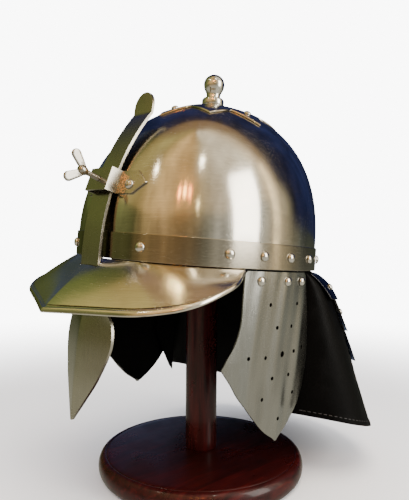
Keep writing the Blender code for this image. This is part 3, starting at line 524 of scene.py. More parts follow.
def frame_on(normal):
    """Two directions square to each normal."""
    normal = unit(np.asarray(normal, float))
    helper = np.where(np.abs(normal[..., 2:]) < 0.9, np.array((0.0, 0.0, 1.0)), np.array((1.0, 0.0, 0.0)))
    first = unit(np.cross(helper, normal))
    return first, np.cross(normal, first), normal


def rivets(name, seats, normals, material, nodes, radius=RIVET_RADIUS):
    """Domed heads: a ring of radius R sin a at height H cos a above the seat, for a from the top down to the flat base."""
    seats, normals = np.asarray(seats), np.asarray(normals)
    first, second, normal = (part[:, None, None, :] for part in frame_on(normals))
    rise = RIVET_RISE * radius / RIVET_RADIUS
    turn = np.radians(np.array((0.5, 12, 24, 36, 48, 60, 72, 84, 90)))
    r = np.concatenate([radius * np.sin(turn), [radius * 0.98, POLE]])[:, None, None]
    h = np.concatenate([rise * np.cos(turn) + RIVET_GAP, [RIVET_GAP * 0.4] * 2])[:, None, None]
    angles = (np.arange(24) * TAU / 24)[None, :, None]
    ring = r * (np.cos(angles) * first + np.sin(angles) * second) + h * normal + seats[:, None, None, :]
    count, rows, columns = ring.shape[:3]
    faces = np.concatenate([quads(rows, columns, True, start=i * rows * columns) for i in range(count)])
    return dressed(name, seated(ring.reshape(-1, 3)), faces, material, nodes, "bright_steel", merge=2e-5)


# Pieces of the helmet

def skull(material):
    """Raised bowl: an upright rim behind the band, and the dome above it."""
    angles = np.linspace(0, TAU, 193)[:-1]
    climb = np.cos(np.linspace(0, math.pi / 2, 73))
    climb[-1] = POLE
    skins = []
    for out in (0.0, -SKULL_WALL):
        low = [wall(angles, z, out) for z in np.linspace(-BAND_DEPTH, 0, 5)[:-1]]
        skins.append(seated(np.stack(low + [dome(angles, share, out) for share in climb])))
    faces = bowl_faces(*skins[0].shape[:2])
    return dressed("raised_skull", np.stack(skins), faces, material, ["skull"], "polished_steel", merge=3e-5)


def brow_band(material):
    """Strip round the rim, open behind the bar."""
    start = -math.pi / 2 + math.atan2(BAND_OPEN, SKULL_HALF_LENGTH)
    angles = np.linspace(start, start + TAU - 2 * (start + math.pi / 2), 241)
    heights = np.linspace(0, -BAND_DEPTH, 7)[:, None]
    outer, inner = (seated(wall(angles, heights, SEAT_GAP + out)) for out in (BAND_THICK, 0.0))
    return plate("brow_strip", outer, inner, material, ["brow_band"], "polished_steel", edge=0.0005)


def band_rivets(material):
    angles = girth_angle(np.array(BAND_RIVETS))
    normal = wall(angles + 0.01, 0.0) - wall(angles - 0.01, 0.0)
    normal = np.stack((normal[:, 1], -normal[:, 0], 0 * angles), -1)
    place = wall(angles, -BAND_DEPTH / 2, SEAT_GAP + BAND_THICK)
    places, normals = (np.concatenate([side, side * MIRROR]) for side in (place, normal))
    nodes = [f"band_rivet_{side}_{i}" for side in ("left", "right") for i in range(1, len(BAND_RIVETS) + 1)]
    return rivets("brow_strip_rivets", places, normals, material, nodes)


def peak_rim(count):
    """Outer edge of the peak from its left end through the tip to its right end."""
    end = wall(PEAK_END, 0.0, BAND_THICK + 0.002)
    shaped = [(x * PEAK_HALF_WIDTH, end[1] + share * (-PEAK_REACH - end[1])) for x, share in PEAK_RIM]
    half = smooth_line([(end[0], end[1]), *shaped, (0.0, -PEAK_REACH)], count // 2 + 1)
    rim = np.concatenate([half, half[-2::-1] * (-1, 1)])
    forward = np.clip((end[1] - rim[:, 1]) / (PEAK_REACH + end[1]), 0, 1)
    return np.column_stack([rim, -BAND_DEPTH - 2 * SEAT_GAP - PEAK_DROP * forward ** PEAK_FALL_POWER])


def peak(material):
    """Peak: each column is a closed section, from the lap under the rim down the slope, over a groove and a bead, and back."""
    rim = peak_rim(PEAK_COLUMNS)
    angles = np.linspace(PEAK_END, -math.pi - PEAK_END, PEAK_COLUMNS + 1)
    top = -BAND_DEPTH - 2 * SEAT_GAP
    lap, turn = wall(angles, top, -PEAK_LAP), wall(angles, top, BAND_THICK + SEAT_GAP)
    out = rim - turn
    reach = np.linalg.norm(out, axis=-1, keepdims=True)
    away = out / reach
    up = np.array((0.0, 0.0, 1.0))
    shares = np.linspace(0, 1, 15)[1:-1]
    slope = [turn + out * share + up * reach * PEAK_SWELL * math.sin(math.pi * share) for share in shares]
    groove = [rim - away * inset + up * rise for inset, rise in PEAK_GROOVE]
    centre, round_edge = rim - up * PEAK_THICK / 2, np.radians((150, 125, 100, 75, 50, 25, 0, -25, -50, -75, -95))
    bead = [centre + PEAK_BEAD * 1.05 * (away * math.cos(a) + up * math.sin(a)) for a in round_edge]
    under = [point - up * PEAK_THICK for point in [lap, turn, *slope]][::-1]
    loops = np.stack([lap, turn, *slope, *groove, *bead, *under], 1)
    made = ring_loft("raised_peak", seated(loops), material, ["peak"], "polished_steel", merge=1e-7)
    half = np.array((BAR_HALF_WIDTH + SLIDE_GAP, BAR_THICK / 2 + 2 * SLIDE_GAP, 0.03))
    corners = np.array([(x, y, z) for z in (-1, 1) for x, y in ((-1, -1), (1, -1), (1, 1), (-1, 1))])
    box = corners * half + (0, -SKULL_HALF_LENGTH - BAR_STANDOFF, top)
    faces = [(0, 1, 2, 3), (7, 6, 5, 4), (0, 4, 5, 1), (1, 5, 6, 2), (2, 6, 7, 3), (3, 7, 4, 0)]
    cut(made, cutter("slot_knife", seated(box), faces))
    ease(made, 0.0003, 2)
    return made


def arc_centre():
    return np.array((0.0, BAR_ARC - SKULL_HALF_LENGTH - BAR_STANDOFF, -BAR_ARC_LOW))


def arc_frame(up):
    """Points on the bar's arc at heights, with the directions outwards and up along the bar."""
    lean = np.arcsin((np.asarray(up, float) + BAR_ARC_LOW) / BAR_ARC)
    zero = np.zeros_like(lean)
    out = np.stack((zero, -np.cos(lean), np.sin(lean)), -1)
    return arc_centre() + out * BAR_ARC, out, np.stack((zero, np.sin(lean), np.cos(lean)), -1)


def guard_stations():
    """Middle of the face, direction outwards, half width and fold depth, from the tip of the leaf to the top of the tail."""
    end, _, _ = arc_frame(-BAR_ARC_FOOT)
    knots = np.array([(0.0, BAR_HALF_WIDTH / GUARD_HALF_WIDTH, 0.0), *GUARD_SECTIONS])
    leaf = smooth_line(knots, 60)[::-1]
    leaf = leaf[leaf[:, 0] > 1e-3]
    share, half = leaf[:, 0], leaf[:, 1] * GUARD_HALF_WIDTH
    depth = np.clip(leaf[:, 2], 0, 1) * GUARD_FOLD * leaf[:, 1] * GUARD_HALF_WIDTH
    place = end + np.stack((0 * share, -share * GUARD_FORWARD - 0.4 * depth, -share * GUARD_LENGTH), -1)
    out = np.tile((0.0, -1.0, 0.0), (len(share), 1))
    ups = np.linspace(-BAR_ARC_FOOT, BAR_ARC_TOP, 60)
    bar_place, bar_out, _ = arc_frame(ups)
    lean = BAR_TAIL_LEAN
    tail_out, along = np.array((0, -math.cos(lean), math.sin(lean))), np.array((0, math.sin(lean), math.cos(lean)))
    straight = BAR_TAIL - BAR_HALF_WIDTH
    round_end = straight + BAR_HALF_WIDTH * np.sin(np.radians(np.linspace(4, 89, 24)))
    run = np.concatenate([np.linspace(0.15, 1, 6) * straight, round_end])
    past = np.clip(run - straight, 0, None) / BAR_HALF_WIDTH
    tail = bar_place[-1] + run[:, None] * along
    bend = np.clip(run / 0.010, 0, 1)[:, None]
    outs = unit(bar_out[-1] * (1 - bend) + tail_out * bend)
    halves = np.concatenate([half, np.full(len(ups), BAR_HALF_WIDTH), BAR_HALF_WIDTH * np.sqrt(1 - past ** 2)])
    depths = np.concatenate([depth, np.zeros(len(ups) + len(run))])
    return np.concatenate([place, bar_place, tail]), np.concatenate([out, bar_out, outs]), halves, depths


def nasal_guard(material):
    """Bar and leaf in one: at each station a flat strip whose two halves fold back, with softly rounded long edges."""
    place, out, half, depth = guard_stations()
    across = np.array((-1.0, -0.98, -0.8, -0.5, -0.2, -0.04, 0.0, 0.04, 0.2, 0.5, 0.8, 0.98, 1.0))
    fold = np.sqrt(across ** 2 + 0.0012) - math.sqrt(0.0012)
    sideways = (half[:, None] * across)[..., None] * np.array((1.0, 0, 0))
    front = place[:, None] + sideways - (depth[:, None] * fold)[..., None] * out[:, None]
    skins = [seated(front + out[:, None] * BAR_THICK / 2), seated(front - out[:, None] * BAR_THICK / 2)]
    return plate("sliding_guard", *skins, material, ["nasal_guard"], "polished_steel", body="nasal_guard", edge=0.0005)


def bracket_front():
    """How far the bracket's face lies in front of the bar's middle, along the bar's outward direction."""
    centre = arc_frame(BRACKET_UP)[0]
    return BRACKET_DEPTH - (-centre[1] + brow(0.0, centre[2])[1] + SEAT_GAP)


def nasal_bracket(material):
    """Bent strip: pointed flange on the forehead, upright cheek, flat face over the bar, and the same again mirrored."""
    centre, out, along = arc_frame(BRACKET_UP)
    half, wall_thick, front, high = BRACKET_HALF_WIDTH, BRACKET_WALL, bracket_front(), BRACKET_HALF_HEIGHT
    runs = np.linspace(1, -1, 13) * high

    def on_brow(x, run, lift):
        return brow(np.full_like(run, x), centre[2] + run * along[2], FLANGE_GAP + lift)

    outer, inner = [], []
    for reach in np.concatenate([np.linspace(1.0, 0.62, 9), np.linspace(0.55, 0.05, 10)]):
        high_share = np.interp(reach, (0.62, 1.0), (1.0, 0.03))
        for skin, lift in ((outer, wall_thick), (inner, 0.0)):
            skin.append(on_brow(half + FLANGE_REACH * reach, runs * high_share, lift))
    foot_out, foot_in = on_brow(half, runs, wall_thick), on_brow(half - wall_thick, runs, 0.0)
    face_out = centre + np.outer(runs, along) + out * front + np.array((half, 0, 0))
    face_in = centre + np.outer(runs, along) + out * (front - wall_thick) + np.array((half - wall_thick, 0, 0))
    for share in np.concatenate([[0.0, 0.08], np.linspace(0.2, 0.8, 4), [0.92, 1.0]]):
        outer.append(foot_out + (face_out - foot_out) * share)
        inner.append(foot_in + (face_in - foot_in) * share)
    for share in (0.93, 0.6, 0.3):
        outer.append(face_out * (share, 1, 1))
        inner.append(face_in * (share, 1, 1))
    both_sides = ([*side, side[-1] * (0, 1, 1), *[loop * MIRROR for loop in reversed(side)]] for side in (outer, inner))
    skins = [seated(np.stack(loops)) for loops in both_sides]
    made = plate("forehead_bracket", *skins, material, ["nasal_bracket"], "polished_steel", edge=0)
    bore_radius = SCREW_RADIUS + SCREW_GAP
    bore = turned_grid([(POLE, -0.004), (bore_radius, -0.004), (bore_radius, 0.016), (POLE, 0.016)], 32)
    cut(made, cutter("bore_knife", seated(along_screw(bore)), quads(4, 32, True)))
    ease(made, 0.0004, 3)
    return made


def along_screw(points):
    """Puts points with +Z along the screw, and +X up the bar, in the helmet frame."""
    centre, out, along = arc_frame(BRACKET_UP)
    side = np.cross(out, along)
    return centre + points[..., :1] * along + points[..., 1:2] * side + points[..., 2:] * out


def bracket_rivets(material):
    centre = arc_frame(BRACKET_UP)[0]
    x, z, lift, step = BRACKET_HALF_WIDTH + FLANGE_RIVET, centre[2] - 0.002, FLANGE_GAP + BRACKET_WALL, 0.002
    place = brow(x, z, lift)
    normal = np.cross(brow(x + step, z, lift) - brow(x - step, z, lift), brow(x, z + step, lift) - brow(x, z - step, lift))
    places, normals = [place, place * MIRROR], [normal, normal * MIRROR]
    return rivets("bracket_flange_rivets", places, normals, material, ["bracket_rivet_left", "bracket_rivet_right"])


def wing_screw(material):
    """Screw: a shaft of radius r - d (1 + cos(TAU z / pitch + a)) / 2, a turned hub, and two flat wings with round tips."""
    start, front = BAR_THICK / 2 + SEAT_GAP, bracket_front()
    neck = front + SCREW_OUT
    sides, turns = 32, np.arange(32) * TAU / 32
    heights = np.linspace(start, neck - 0.0015, 180)
    groove = THREAD_DEPTH * (1 + np.cos(TAU * heights[:, None] / THREAD_PITCH + turns)) / 2
    radius = SCREW_RADIUS - groove * (heights[:, None] > start + 0.0006)
    shaft = np.stack((radius * np.cos(turns), radius * np.sin(turns), np.broadcast_to(heights[:, None], radius.shape)), -1)
    knots = [(r * HUB_RADIUS, z * HUB_LENGTH) for r, z in HUB_OUTLINE]
    hub = smooth_line([(SCREW_RADIUS, -0.0012), *knots, (POLE, HUB_LENGTH)], 30)
    hub[-1, 0] = POLE
    foot_ring = np.stack((POLE * np.cos(turns), POLE * np.sin(turns), np.full(sides, start)), -1)
    loops = np.concatenate([foot_ring[None], shaft, turned_grid(hub + (0, neck), sides)])
    points, faces = [loops.reshape(-1, 3)], [quads(len(loops), sides, True)]
    start_at = loops.shape[0] * sides
    foot, tip = np.array((0.0010, neck + HUB_LENGTH * 0.35)), np.array((WING_SPREAD, neck + WING_REACH))
    run = (tip - foot) / np.linalg.norm(tip - foot)
    across = np.array((run[1], -run[0]))
    arc = np.radians(np.linspace(-100, 100, 17))
    middle_of_wing = foot + (tip - foot) * 0.45
    rim = np.concatenate([[foot - across * HUB_RADIUS * 0.55, middle_of_wing - across * WING_TIP * 0.80],
                          tip + WING_TIP * (np.outer(np.cos(arc), run) + np.outer(np.sin(arc), across)),
                          [middle_of_wing + across * WING_TIP * 0.88, foot + across * HUB_RADIUS * 0.75]])
    middle = rim.mean(0)
    for side in (1, -1):
        layers = []
        for inset, thick in ((0.0, 0.25), (0.03, 0.42), (0.10, 0.5), (0.55, 0.5), (0.999, 0.5)):
            ring = rim + (middle - rim) * inset
            layers.append(np.column_stack([side * ring[:, 0], np.full(len(ring), thick * WING_THICK), ring[:, 1]]))
        layers = np.array([layer for layer in reversed(layers)] + [layer * (1, -1, 1) for layer in layers])
        points.append(layers.reshape(-1, 3))
        faces.append(quads(len(layers), layers.shape[1], True, start_at))
        start_at += layers.shape[0] * layers.shape[1]
    return dressed("clamping_screw", seated(along_screw(np.concatenate(points))), np.concatenate(faces), material,
                   ["wing_screw"], "bright_steel", body="wing_screw", sharp=50, merge=2e-5)


def crown_plate(material):
    """Star on the crown: the radius swings between its points and valleys, and each place is lifted onto the dome."""
    columns = 192
    angles = -math.pi / 2 + np.arange(columns) * TAU / columns
    between = np.abs((np.arange(columns) * CROWN_POINTS / columns + 0.5) % 1 - 0.5) * 2
    edge = CROWN_TIP + (CROWN_VALLEY - CROWN_TIP) * between ** 0.85
    shares = np.concatenate([np.linspace(1, 0.1, 26), [1e-4]])[:, None]
    x, y = edge * shares * np.cos(angles), edge * shares * np.sin(angles)
    skins = np.stack([seated(dome_over(x, y, CROWN_GAP + thick)) for thick in (CROWN_THICK, 0.0)])
    faces = bowl_faces(len(shares), columns)
    made = dressed("crown_star", skins, faces, material, ["crown_plate"], "polished_steel", merge=3e-5)
    ease(made, 0.0003, 2)
    return made


def crown_rivets(material):
    angles, step, out = np.radians((-90.0, 0, 90, 180)), 0.004, CROWN_GAP + CROWN_THICK
    x, y = CROWN_VALLEY * np.cos(angles), CROWN_VALLEY * np.sin(angles)
    normal = np.cross(dome_over(x + step, y, out) - dome_over(x - step, y, out),
                      dome_over(x, y + step, out) - dome_over(x, y - step, out))
    nodes = [f"crown_rivet_{side}" for side in ("front", "left", "back", "right")]
    return rivets("crown_star_rivets", dome_over(x, y, out), normal, material, nodes, SMALL_RIVET)


def finial(material):
    """Turned knob: a smooth ball and neck, then a foot with crisp steps."""
    foot = SKULL_HEIGHT + CROWN_GAP + CROWN_THICK + 2 * SEAT_GAP
    knots = np.array([(share * FINIAL_BALL, up * FINIAL_HEIGHT) for up, share in FINIAL_OUTLINE])
    knob = smooth_line(np.concatenate([[(POLE, FINIAL_HEIGHT)], knots[:9]]), 60)
    knob[0, 0] = POLE
    neck, ledge, collar, skirt, sole = knots[8:]
    steps = [(neck[0] * 1.02, ledge[1] + 0.0006), ledge, (collar[0] * 0.99, collar[1] + 0.0008), collar,
             (skirt[0], skirt[1] + 0.0003), (skirt[0] * 0.97, skirt[1] - 0.0004), (sole[0], 0.0004), (sole[0] * 0.98, 0.0),
             (POLE, 0.0)]
    grid = turned_grid(np.concatenate([knob, steps]) + (0, foot), 64)
    return dressed("crown_knob", seated(grid), quads(len(grid), 64, True), material, ["finial"], "bright_steel", sharp=32,
                   merge=3e-5)


def cheek_outline(count):
    """Rows of (share of length, front, rear): smooth above and below the front corner, and sharp at it."""
    rows = np.array(CHEEK_ROWS)
    upper = smooth_line(rows[:CHEEK_CORNER + 1], count // 2)
    lower = smooth_line(rows[CHEEK_CORNER:], count - count // 2 + 1)
    return np.concatenate([upper, lower[1:]])


def cheek_point(down, along, out, side=1):
    """Point of a cheek plate: the rim's plan at the top, flattened towards a plane lower down."""
    down, along = np.asarray(down, float), np.asarray(along, float)
    y = CHEEK_BACK + along * CHEEK_HALF_WIDTH
    flat = CHEEK_FLATTEN * np.minimum(np.maximum(down, 0) / 0.5, 1.0)
    x = side_x(y, out) * (1 - flat) + (SKULL_HALF_WIDTH + out) * flat
    return np.stack(np.broadcast_arrays(side * x, y, -BAND_DEPTH - CHEEK_DROP - down * CHEEK_LENGTH), -1)


def cheek_normal(down, along, out, side):
    step = 0.05
    run = cheek_point(down, np.asarray(along) + step, out, side) - cheek_point(down, np.asarray(along) - step, out, side)
    return np.stack((run[..., 1] * side, -run[..., 0] * side, 0 * run[..., 0]), -1)


def cheek_plate(material, rivet_material, side):
    """Pierced cheek plate, with its corners at the top eased and slow ripples from hammering, and its three rivets."""
    word = "left" if side > 0 else "right"
    rows = cheek_outline(90)
    across = np.linspace(0, 1, 49)
    corner = CHEEK_ROUND / CHEEK_HALF_WIDTH * np.clip(1 - rows[:, 0] * CHEEK_LENGTH / 0.003, 0, 1) ** 2
    front, rear = rows[:, 1] + corner, rows[:, 2] - corner
    down, along = rows[:, :1], front[:, None] + (rear - front)[:, None] * across
    slow = CHEEK_SLOW_RIPPLE * np.sin(along * 9.0 + 2.2 * np.sin(down * 3.1)) * np.sin(math.pi * np.clip(down, 0, 1)) ** 0.5
    ripple = side * (slow + CHEEK_FAST_RIPPLE * np.sin(along * 19 + down * 7))
    sideways = np.stack((ripple, 0 * ripple, 0 * ripple), -1)
    outer, inner = CHEEK_FACE, CHEEK_FACE - CHEEK_THICK
    skins = [seated(cheek_point(down, along, out, side) + sideways) for out in (outer, inner)]
    made = plate(f"pierced_cheek_{word}", *skins, material, [f"cheek_plate_{word}"], "polished_steel", edge=0, merge=1e-7)
    points, faces = [], []
    holes = [(*hole, HOLE_RADIUS) for hole in CHEEK_HOLES] + [(*MIDDLE_HOLE, MIDDLE_HOLE_RADIUS)]
    for i, (down_at, along_at, radius) in enumerate(holes):
        centre = cheek_point(down_at, along_at, (outer + inner) / 2, side)
        first, second, normal = frame_on(cheek_normal(down_at, along_at, outer, side))
        grid = turned_grid([(POLE, -HOLE_KNIFE), (radius, -HOLE_KNIFE), (radius, HOLE_KNIFE), (POLE, HOLE_KNIFE)], 28)
        points.append((centre + grid[..., :1] * first + grid[..., 1:2] * second + grid[..., 2:] * normal).reshape(-1, 3))
        faces.append(quads(4, 28, True, start=i * 4 * 28))
    cut(made, cutter("piercing_knife", seated(np.concatenate(points)), np.concatenate(faces)))
    ease(made, 0.00025, 2)
    down_at, along_at = np.array(CHEEK_RIVETS).T
    place, normal = (find(down_at, along_at, outer, side) for find in (cheek_point, cheek_normal))
    nodes = [f"cheek_rivet_{word}_{i}" for i in (1, 2, 3)]
    rivets(f"pierced_cheek_rivets_{word}", place, normal, rivet_material, nodes)
    return made


def cheek_lining(material, side):
    """Leather behind the cheek plate, run up inside the rim that carries it."""
    word = "left" if side > 0 else "right"
    inset = LINING_INSET / CHEEK_HALF_WIDTH
    rows = cheek_outline(60)
    rows = rows[rows[:, 0] < 0.985]
    lap = np.linspace(-(LEATHER_LAP + CHEEK_DROP) / CHEEK_LENGTH, 0, 7)[:-1]
    rows = np.concatenate([[(share, *CHEEK_ROWS[0][1:]) for share in lap], rows])
    front, rear = rows[:, 1] + inset, np.maximum(rows[:, 2] - inset, rows[:, 1] + inset + 0.02)
    along = front[:, None] + (rear - front)[:, None] * np.linspace(0, 1, 41)
    outer = CHEEK_FACE - CHEEK_THICK - SOFT_GAP
    skins = [seated(cheek_point(rows[:, :1], along, out, side)) for out in (outer, outer - LEATHER)]
    return plate(f"cheek_leather_{word}", *skins, material, [f"cheek_lining_{word}"], "black_leather", edge=0.0006)


def neck_point(angle, down, lift):
    """Neck guard: the rim's plan moved out by a shoulder and a flare that both start behind the cheek plate."""
    angle, down, lift = np.broadcast_arrays(np.asarray(angle, float), np.asarray(down, float), np.asarray(lift, float))
    back = np.clip(1 - ((math.pi / 2 - angle) / (math.pi / 2 - NECK_START)) ** 2, 0, 1)
    full = np.clip(1 - ((math.pi / 2 - angle) / (math.pi / 2 - NECK_FLARE_START)) ** 2, 0, 1) ** NECK_FULLNESS
    lap = (SOFT_GAP + LEATHER) * (1 - np.clip((np.sin(angle) - 0.46) / 0.25, 0, 1))
    below = np.clip(down, 0, None)
    out = full * (NECK_FLARE * below + NECK_SHOULDER * (1 - np.exp(-below / NECK_SHOULDER_RUN)))
    from_front = math.pi / 2 - np.abs(math.pi / 2 - angle)
    corner = np.clip((NECK_LAP_END - from_front) / (NECK_LAP_END - NECK_START), 0, 1)
    drop = NECK_SIDE_DROP + (NECK_BACK_DROP - NECK_SIDE_DROP) * back - NECK_LAP_RISE * corner
    return wall(angle, -BAND_DEPTH - 0.0010 - down * drop, -SKULL_WALL - SOFT_GAP - lap + out + lift)


def neck_angles(count):
    flaring = NECK_FLARE_START + (math.pi / 2 - NECK_FLARE_START) * np.linspace(0, 1, count) ** 1.9
    half = np.concatenate([np.linspace(NECK_START, NECK_FLARE_START, 8)[:-1], flaring])
    return np.concatenate([half, math.pi - half[-2::-1]])


def neck_leather(material):
    """Leather skirt; over its last 6 mm it is turned in on itself, which thickens and rounds the hem."""
    angles = neck_angles(56)
    lap = -LEATHER_LAP / NECK_BACK_DROP
    down = np.concatenate([[lap, lap / 2], np.linspace(0, 1, 60) ** 1.35])[:, None]
    hem = np.clip((down - HEM_START) / (1 - HEM_START), 0, 1)
    swell = HEM_SWELL * np.sin(math.pi * np.clip(hem * 0.85, 0, 1)) ** 0.5 * (hem > 0)
    seam = -HEM_SEAM * np.exp(-((down - HEM_START + 0.005) / 0.004) ** 2)
    wave = LEATHER_WAVE * np.sin(5 * angles) * np.sin(3.1 * np.clip(down, 0, 1))
    lifts = (swell + seam + wave, -LEATHER - swell - seam + wave)
    skins = [seated(neck_point(angles, down, lift)) for lift in lifts]
    return plate("neck_skirt", *skins, material, ["neck_leather"], "black_leather", edge=0.0007)


def stitches(material):
    """Row of stitches above the hem: a small spindle every 5 mm, lying along the row and half sunk in the leather."""
    angles = neck_angles(200)
    drop = 1 - STITCH_INSET / NECK_BACK_DROP
    row = neck_point(angles, drop, 0.0001)
    run = np.concatenate([[0], np.cumsum(np.linalg.norm(np.diff(row, axis=0), axis=1))])
    at = np.interp(np.arange(0.006, run[-1] - 0.006, STITCH_STEP), run, angles)
    centre = neck_point(at, drop, 0.0001)[:, None, None]
    along = unit(neck_point(at + 0.004, drop, 0.0001) - neck_point(at - 0.004, drop, 0.0001))[:, None, None]
    upward = unit(neck_point(at, drop - 0.01, 0.0001) - neck_point(at, drop + 0.01, 0.0001))[:, None, None]
    normal = np.cross(upward, along)
    turns, steps = (np.arange(8) * TAU / 8)[:, None], np.linspace(-1, 1, 7)[:, None, None]
    radius = STITCH_RADIUS * np.sqrt(np.clip(1 - steps ** 4, 0.01, 1))
    ring = steps * STITCH_LENGTH / 2 * along + radius * (np.cos(turns) * normal + np.sin(turns) * upward) + centre
    count, rows, columns = ring.shape[:3]
    size, last = rows * columns, (rows - 1) * columns
    faces = [tuple(face) for i in range(count) for face in quads(rows, columns, True, start=i * size)]
    faces += [tuple(range(i * size, i * size + columns)) for i in range(count)]
    faces += [tuple(range(i * size + last, (i + 1) * size)) for i in range(count)]
    return dressed("hem_stitches", seated(ring.reshape(-1, 3)), faces, material, [], "black_leather", merge=1e-7)


def neck_lame(material, number, row):
    """Curved lame over the leather, its ends cut on the slant and its lower edge riding over the next lame."""
    top, bottom, first, last = row
    shares = np.linspace(0, 1, 21)[:, None]
    start = np.radians(first + (last - first) * shares)
    angle = start + (math.pi - 2 * start) * np.linspace(0, 1, 121)
    down, lift = top + (bottom - top) * shares, LAME_GAP + LAME_LIFT * shares
    skins = [seated(neck_point(angle, down, lift + thick)) for thick in (LAME_THICK, 0.0)]
    return plate(f"tail_lame_{number}", *skins, material, [f"neck_lame_{number}"], "polished_steel", edge=0.0004)


def lame_rivets(material):
    seats, normals, nodes = [], [], []
    for number, (top, bottom, first, last) in enumerate(LAME_ROWS, 1):
        share, step = 0.5, 0.02
        angle, down = math.radians(first + (last - first) * share + 7), top + (bottom - top) * share
        lift = LAME_GAP + LAME_LIFT * share + LAME_THICK
        slope = LAME_LIFT * step / (bottom - top)
        place = neck_point(angle, down, lift)
        normal = np.cross(neck_point(angle, down + step, lift + slope) - neck_point(angle, down - step, lift - slope),
                          neck_point(angle + step, down, lift) - neck_point(angle - step, down, lift))
        for word, side in (("left", 1), ("right", -1)):
            seats.append(place * (side, 1, 1))
            normals.append(normal * (side, 1, 1))
            nodes.append(f"lame_rivet_{word}_{number}")
    return rivets("tail_rivets", seats, normals, material, nodes, SMALL_RIVET)


# Stand

def turned_wood(name, outline, sides, material, node):
    grid = turned_grid(outline, sides)
    return dressed(name, grid, quads(len(grid), sides, True), material, [node], "mahogany", sharp=50, merge=3e-5)


def stand_base(material):
    """Turned disc: flat top, a fine groove round it, a half-round rim and a flat foot."""
    edge, half = BASE_RADIUS - BASE_FLAT, BASE_HEIGHT / 2
    flat = [(r, BASE_HEIGHT) for r in np.concatenate([[POLE], np.linspace(0.01, BASE_FLAT - 0.0022, 20)])]
    groove = [(BASE_FLAT - inset, BASE_HEIGHT - depth) for inset, depth in BASE_GROOVE]
    round_rim = [(BASE_FLAT + edge * math.cos(a), half + half * math.sin(a)) for a in np.radians(np.linspace(88, -90, 36))]
    return turned_wood("turned_base", flat + groove + round_rim + [(0.05, 0.0), (POLE, 0.0)], 192, material, "stand_base")


def stand_post(material):
    """Turned post from its foot to a domed top under the crown; a fine shadow line shows where it enters the base."""
    top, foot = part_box("stand_post")[1][2] - POST_DOME * 0.96, BASE_HEIGHT + SEAT_GAP
    cap = [(POST_TOP_RADIUS * share, top + POST_DOME * (1 - share ** 2)) for share in np.linspace(0, 0.98, 12)]
    cap[0] = (POLE, cap[0][1])
    high, low = np.array((POST_TOP_RADIUS, top - 0.001)), np.array((POST_FOOT_RADIUS, foot + 0.0015))
    shaft = [tuple(high + (low - high) * share) for share in np.linspace(0, 1, 40)]
    end = [(POST_FOOT_RADIUS - 0.0006, foot + 0.0004), (POST_FOOT_RADIUS - 0.0008, foot), (POLE, foot)]
    return turned_wood("turned_post", cap + shaft + end, 96, material, "stand_post")


# Studio

def light_panel(name, size, energy, colour):
    """Rectangular light that the camera itself doesn't see."""
    data = bpy.data.lights.new(name, "AREA")
    data.shape, data.size, data.size_y, data.energy, data.color = "RECTANGLE", *size, energy, linear(colour)[:3]
    made = linked(name, data)
    made.visible_camera = False
    return made


def studio():
    """Pale floor, soft lights, a room for the steel to mirror, and the camera where the photographer stood."""
    turns, radii = np.arange(96) * TAU / 96, np.concatenate([[1e-4], np.linspace(0.05, 4.0, 40)])
    grid = np.stack((np.outer(radii, np.cos(turns)), np.outer(radii, np.sin(turns)), np.full((len(radii), 96), -0.0002)), -1)
    floor = linked("floor", mesh_of("floor", grid, quads(len(radii), 96, True, flip=True)))
    floor.data.materials.append(floor_material())
    floor.visible_glossy = False
    room()
    bearing = CAMERA_BEARING
    for name, turn, height, distance, size, energy, colour, mirrored in LIGHTS:
        lamp = light_panel(name, size, energy, colour)
        azimuth = -math.pi / 2 + bearing + math.radians(turn)
        lamp.location = (distance * math.cos(azimuth), distance * math.sin(azimuth), height)
        lamp.rotation_euler = (Vector((0, 0, AIM_HEIGHT)) - lamp.location).to_track_quat("-Z", "Y").to_euler()
        lamp.visible_glossy = mirrored
    c, s = math.cos(bearing), math.sin(bearing)
    for name, nearer, rightward, height, size, turn, tilt, spread, energy, colour in BOARDS:
        board = light_panel(name, size, energy, colour)
        board.data.spread = math.radians(spread)
        board.location = (nearer * s + rightward * c, -nearer * c + rightward * s, height)
        facing, tipped, turned = (Matrix.Rotation(angle, 3, axis) for angle, axis in
                                  ((bearing, "Z"), (math.radians(tilt), "X"), (math.radians(turn), "Z")))
        board.rotation_euler = (facing @ tipped @ turned).to_euler()
    camera()


# Each light: name, degrees round from the camera (right is plus), height, distance, size across and up, power, colour,
# mirrored in the steel
LIGHTS = (("window", 62.5, 0.66, 1.45, (0.62, 1.15), 22.0, "#fffaf2", True),
          ("doorway", 88, 0.62, 1.45, (0.12, 1.30), 1.0, "#ffe6b8", True),
          ("ceiling", 10, 1.75, 0.55, (1.1, 1.1), 30.0, "#fff3e0", False),
          ("fill", -40, 0.75, 1.6, (1.0, 1.0), 8.0, "#fff3e0", False),
          ("flame_one", -9.5, 0.84, 1.05, (0.035, 0.13), 0.55, "#ff9a4a", True),
          ("flame_two", -3, 0.86, 1.05, (0.035, 0.15), 0.65, "#ffb060", True),
          ("flame_three", 3.5, 0.83, 1.05, (0.035, 0.12), 0.50, "#ff9248", True),
          ("lamp_left", -56, 1.50, 1.19, (0.09, 0.13), 1.2, "#fff3d8", True),
          ("lamp_high", 19.5, 1.62, 1.02, (0.10, 0.10), 1.5, "#fff6e0", True),
          ("lamp_low", 13.7, 0.65, 1.14, (0.03, 0.06), 0.15, "#ffe9b0", True))


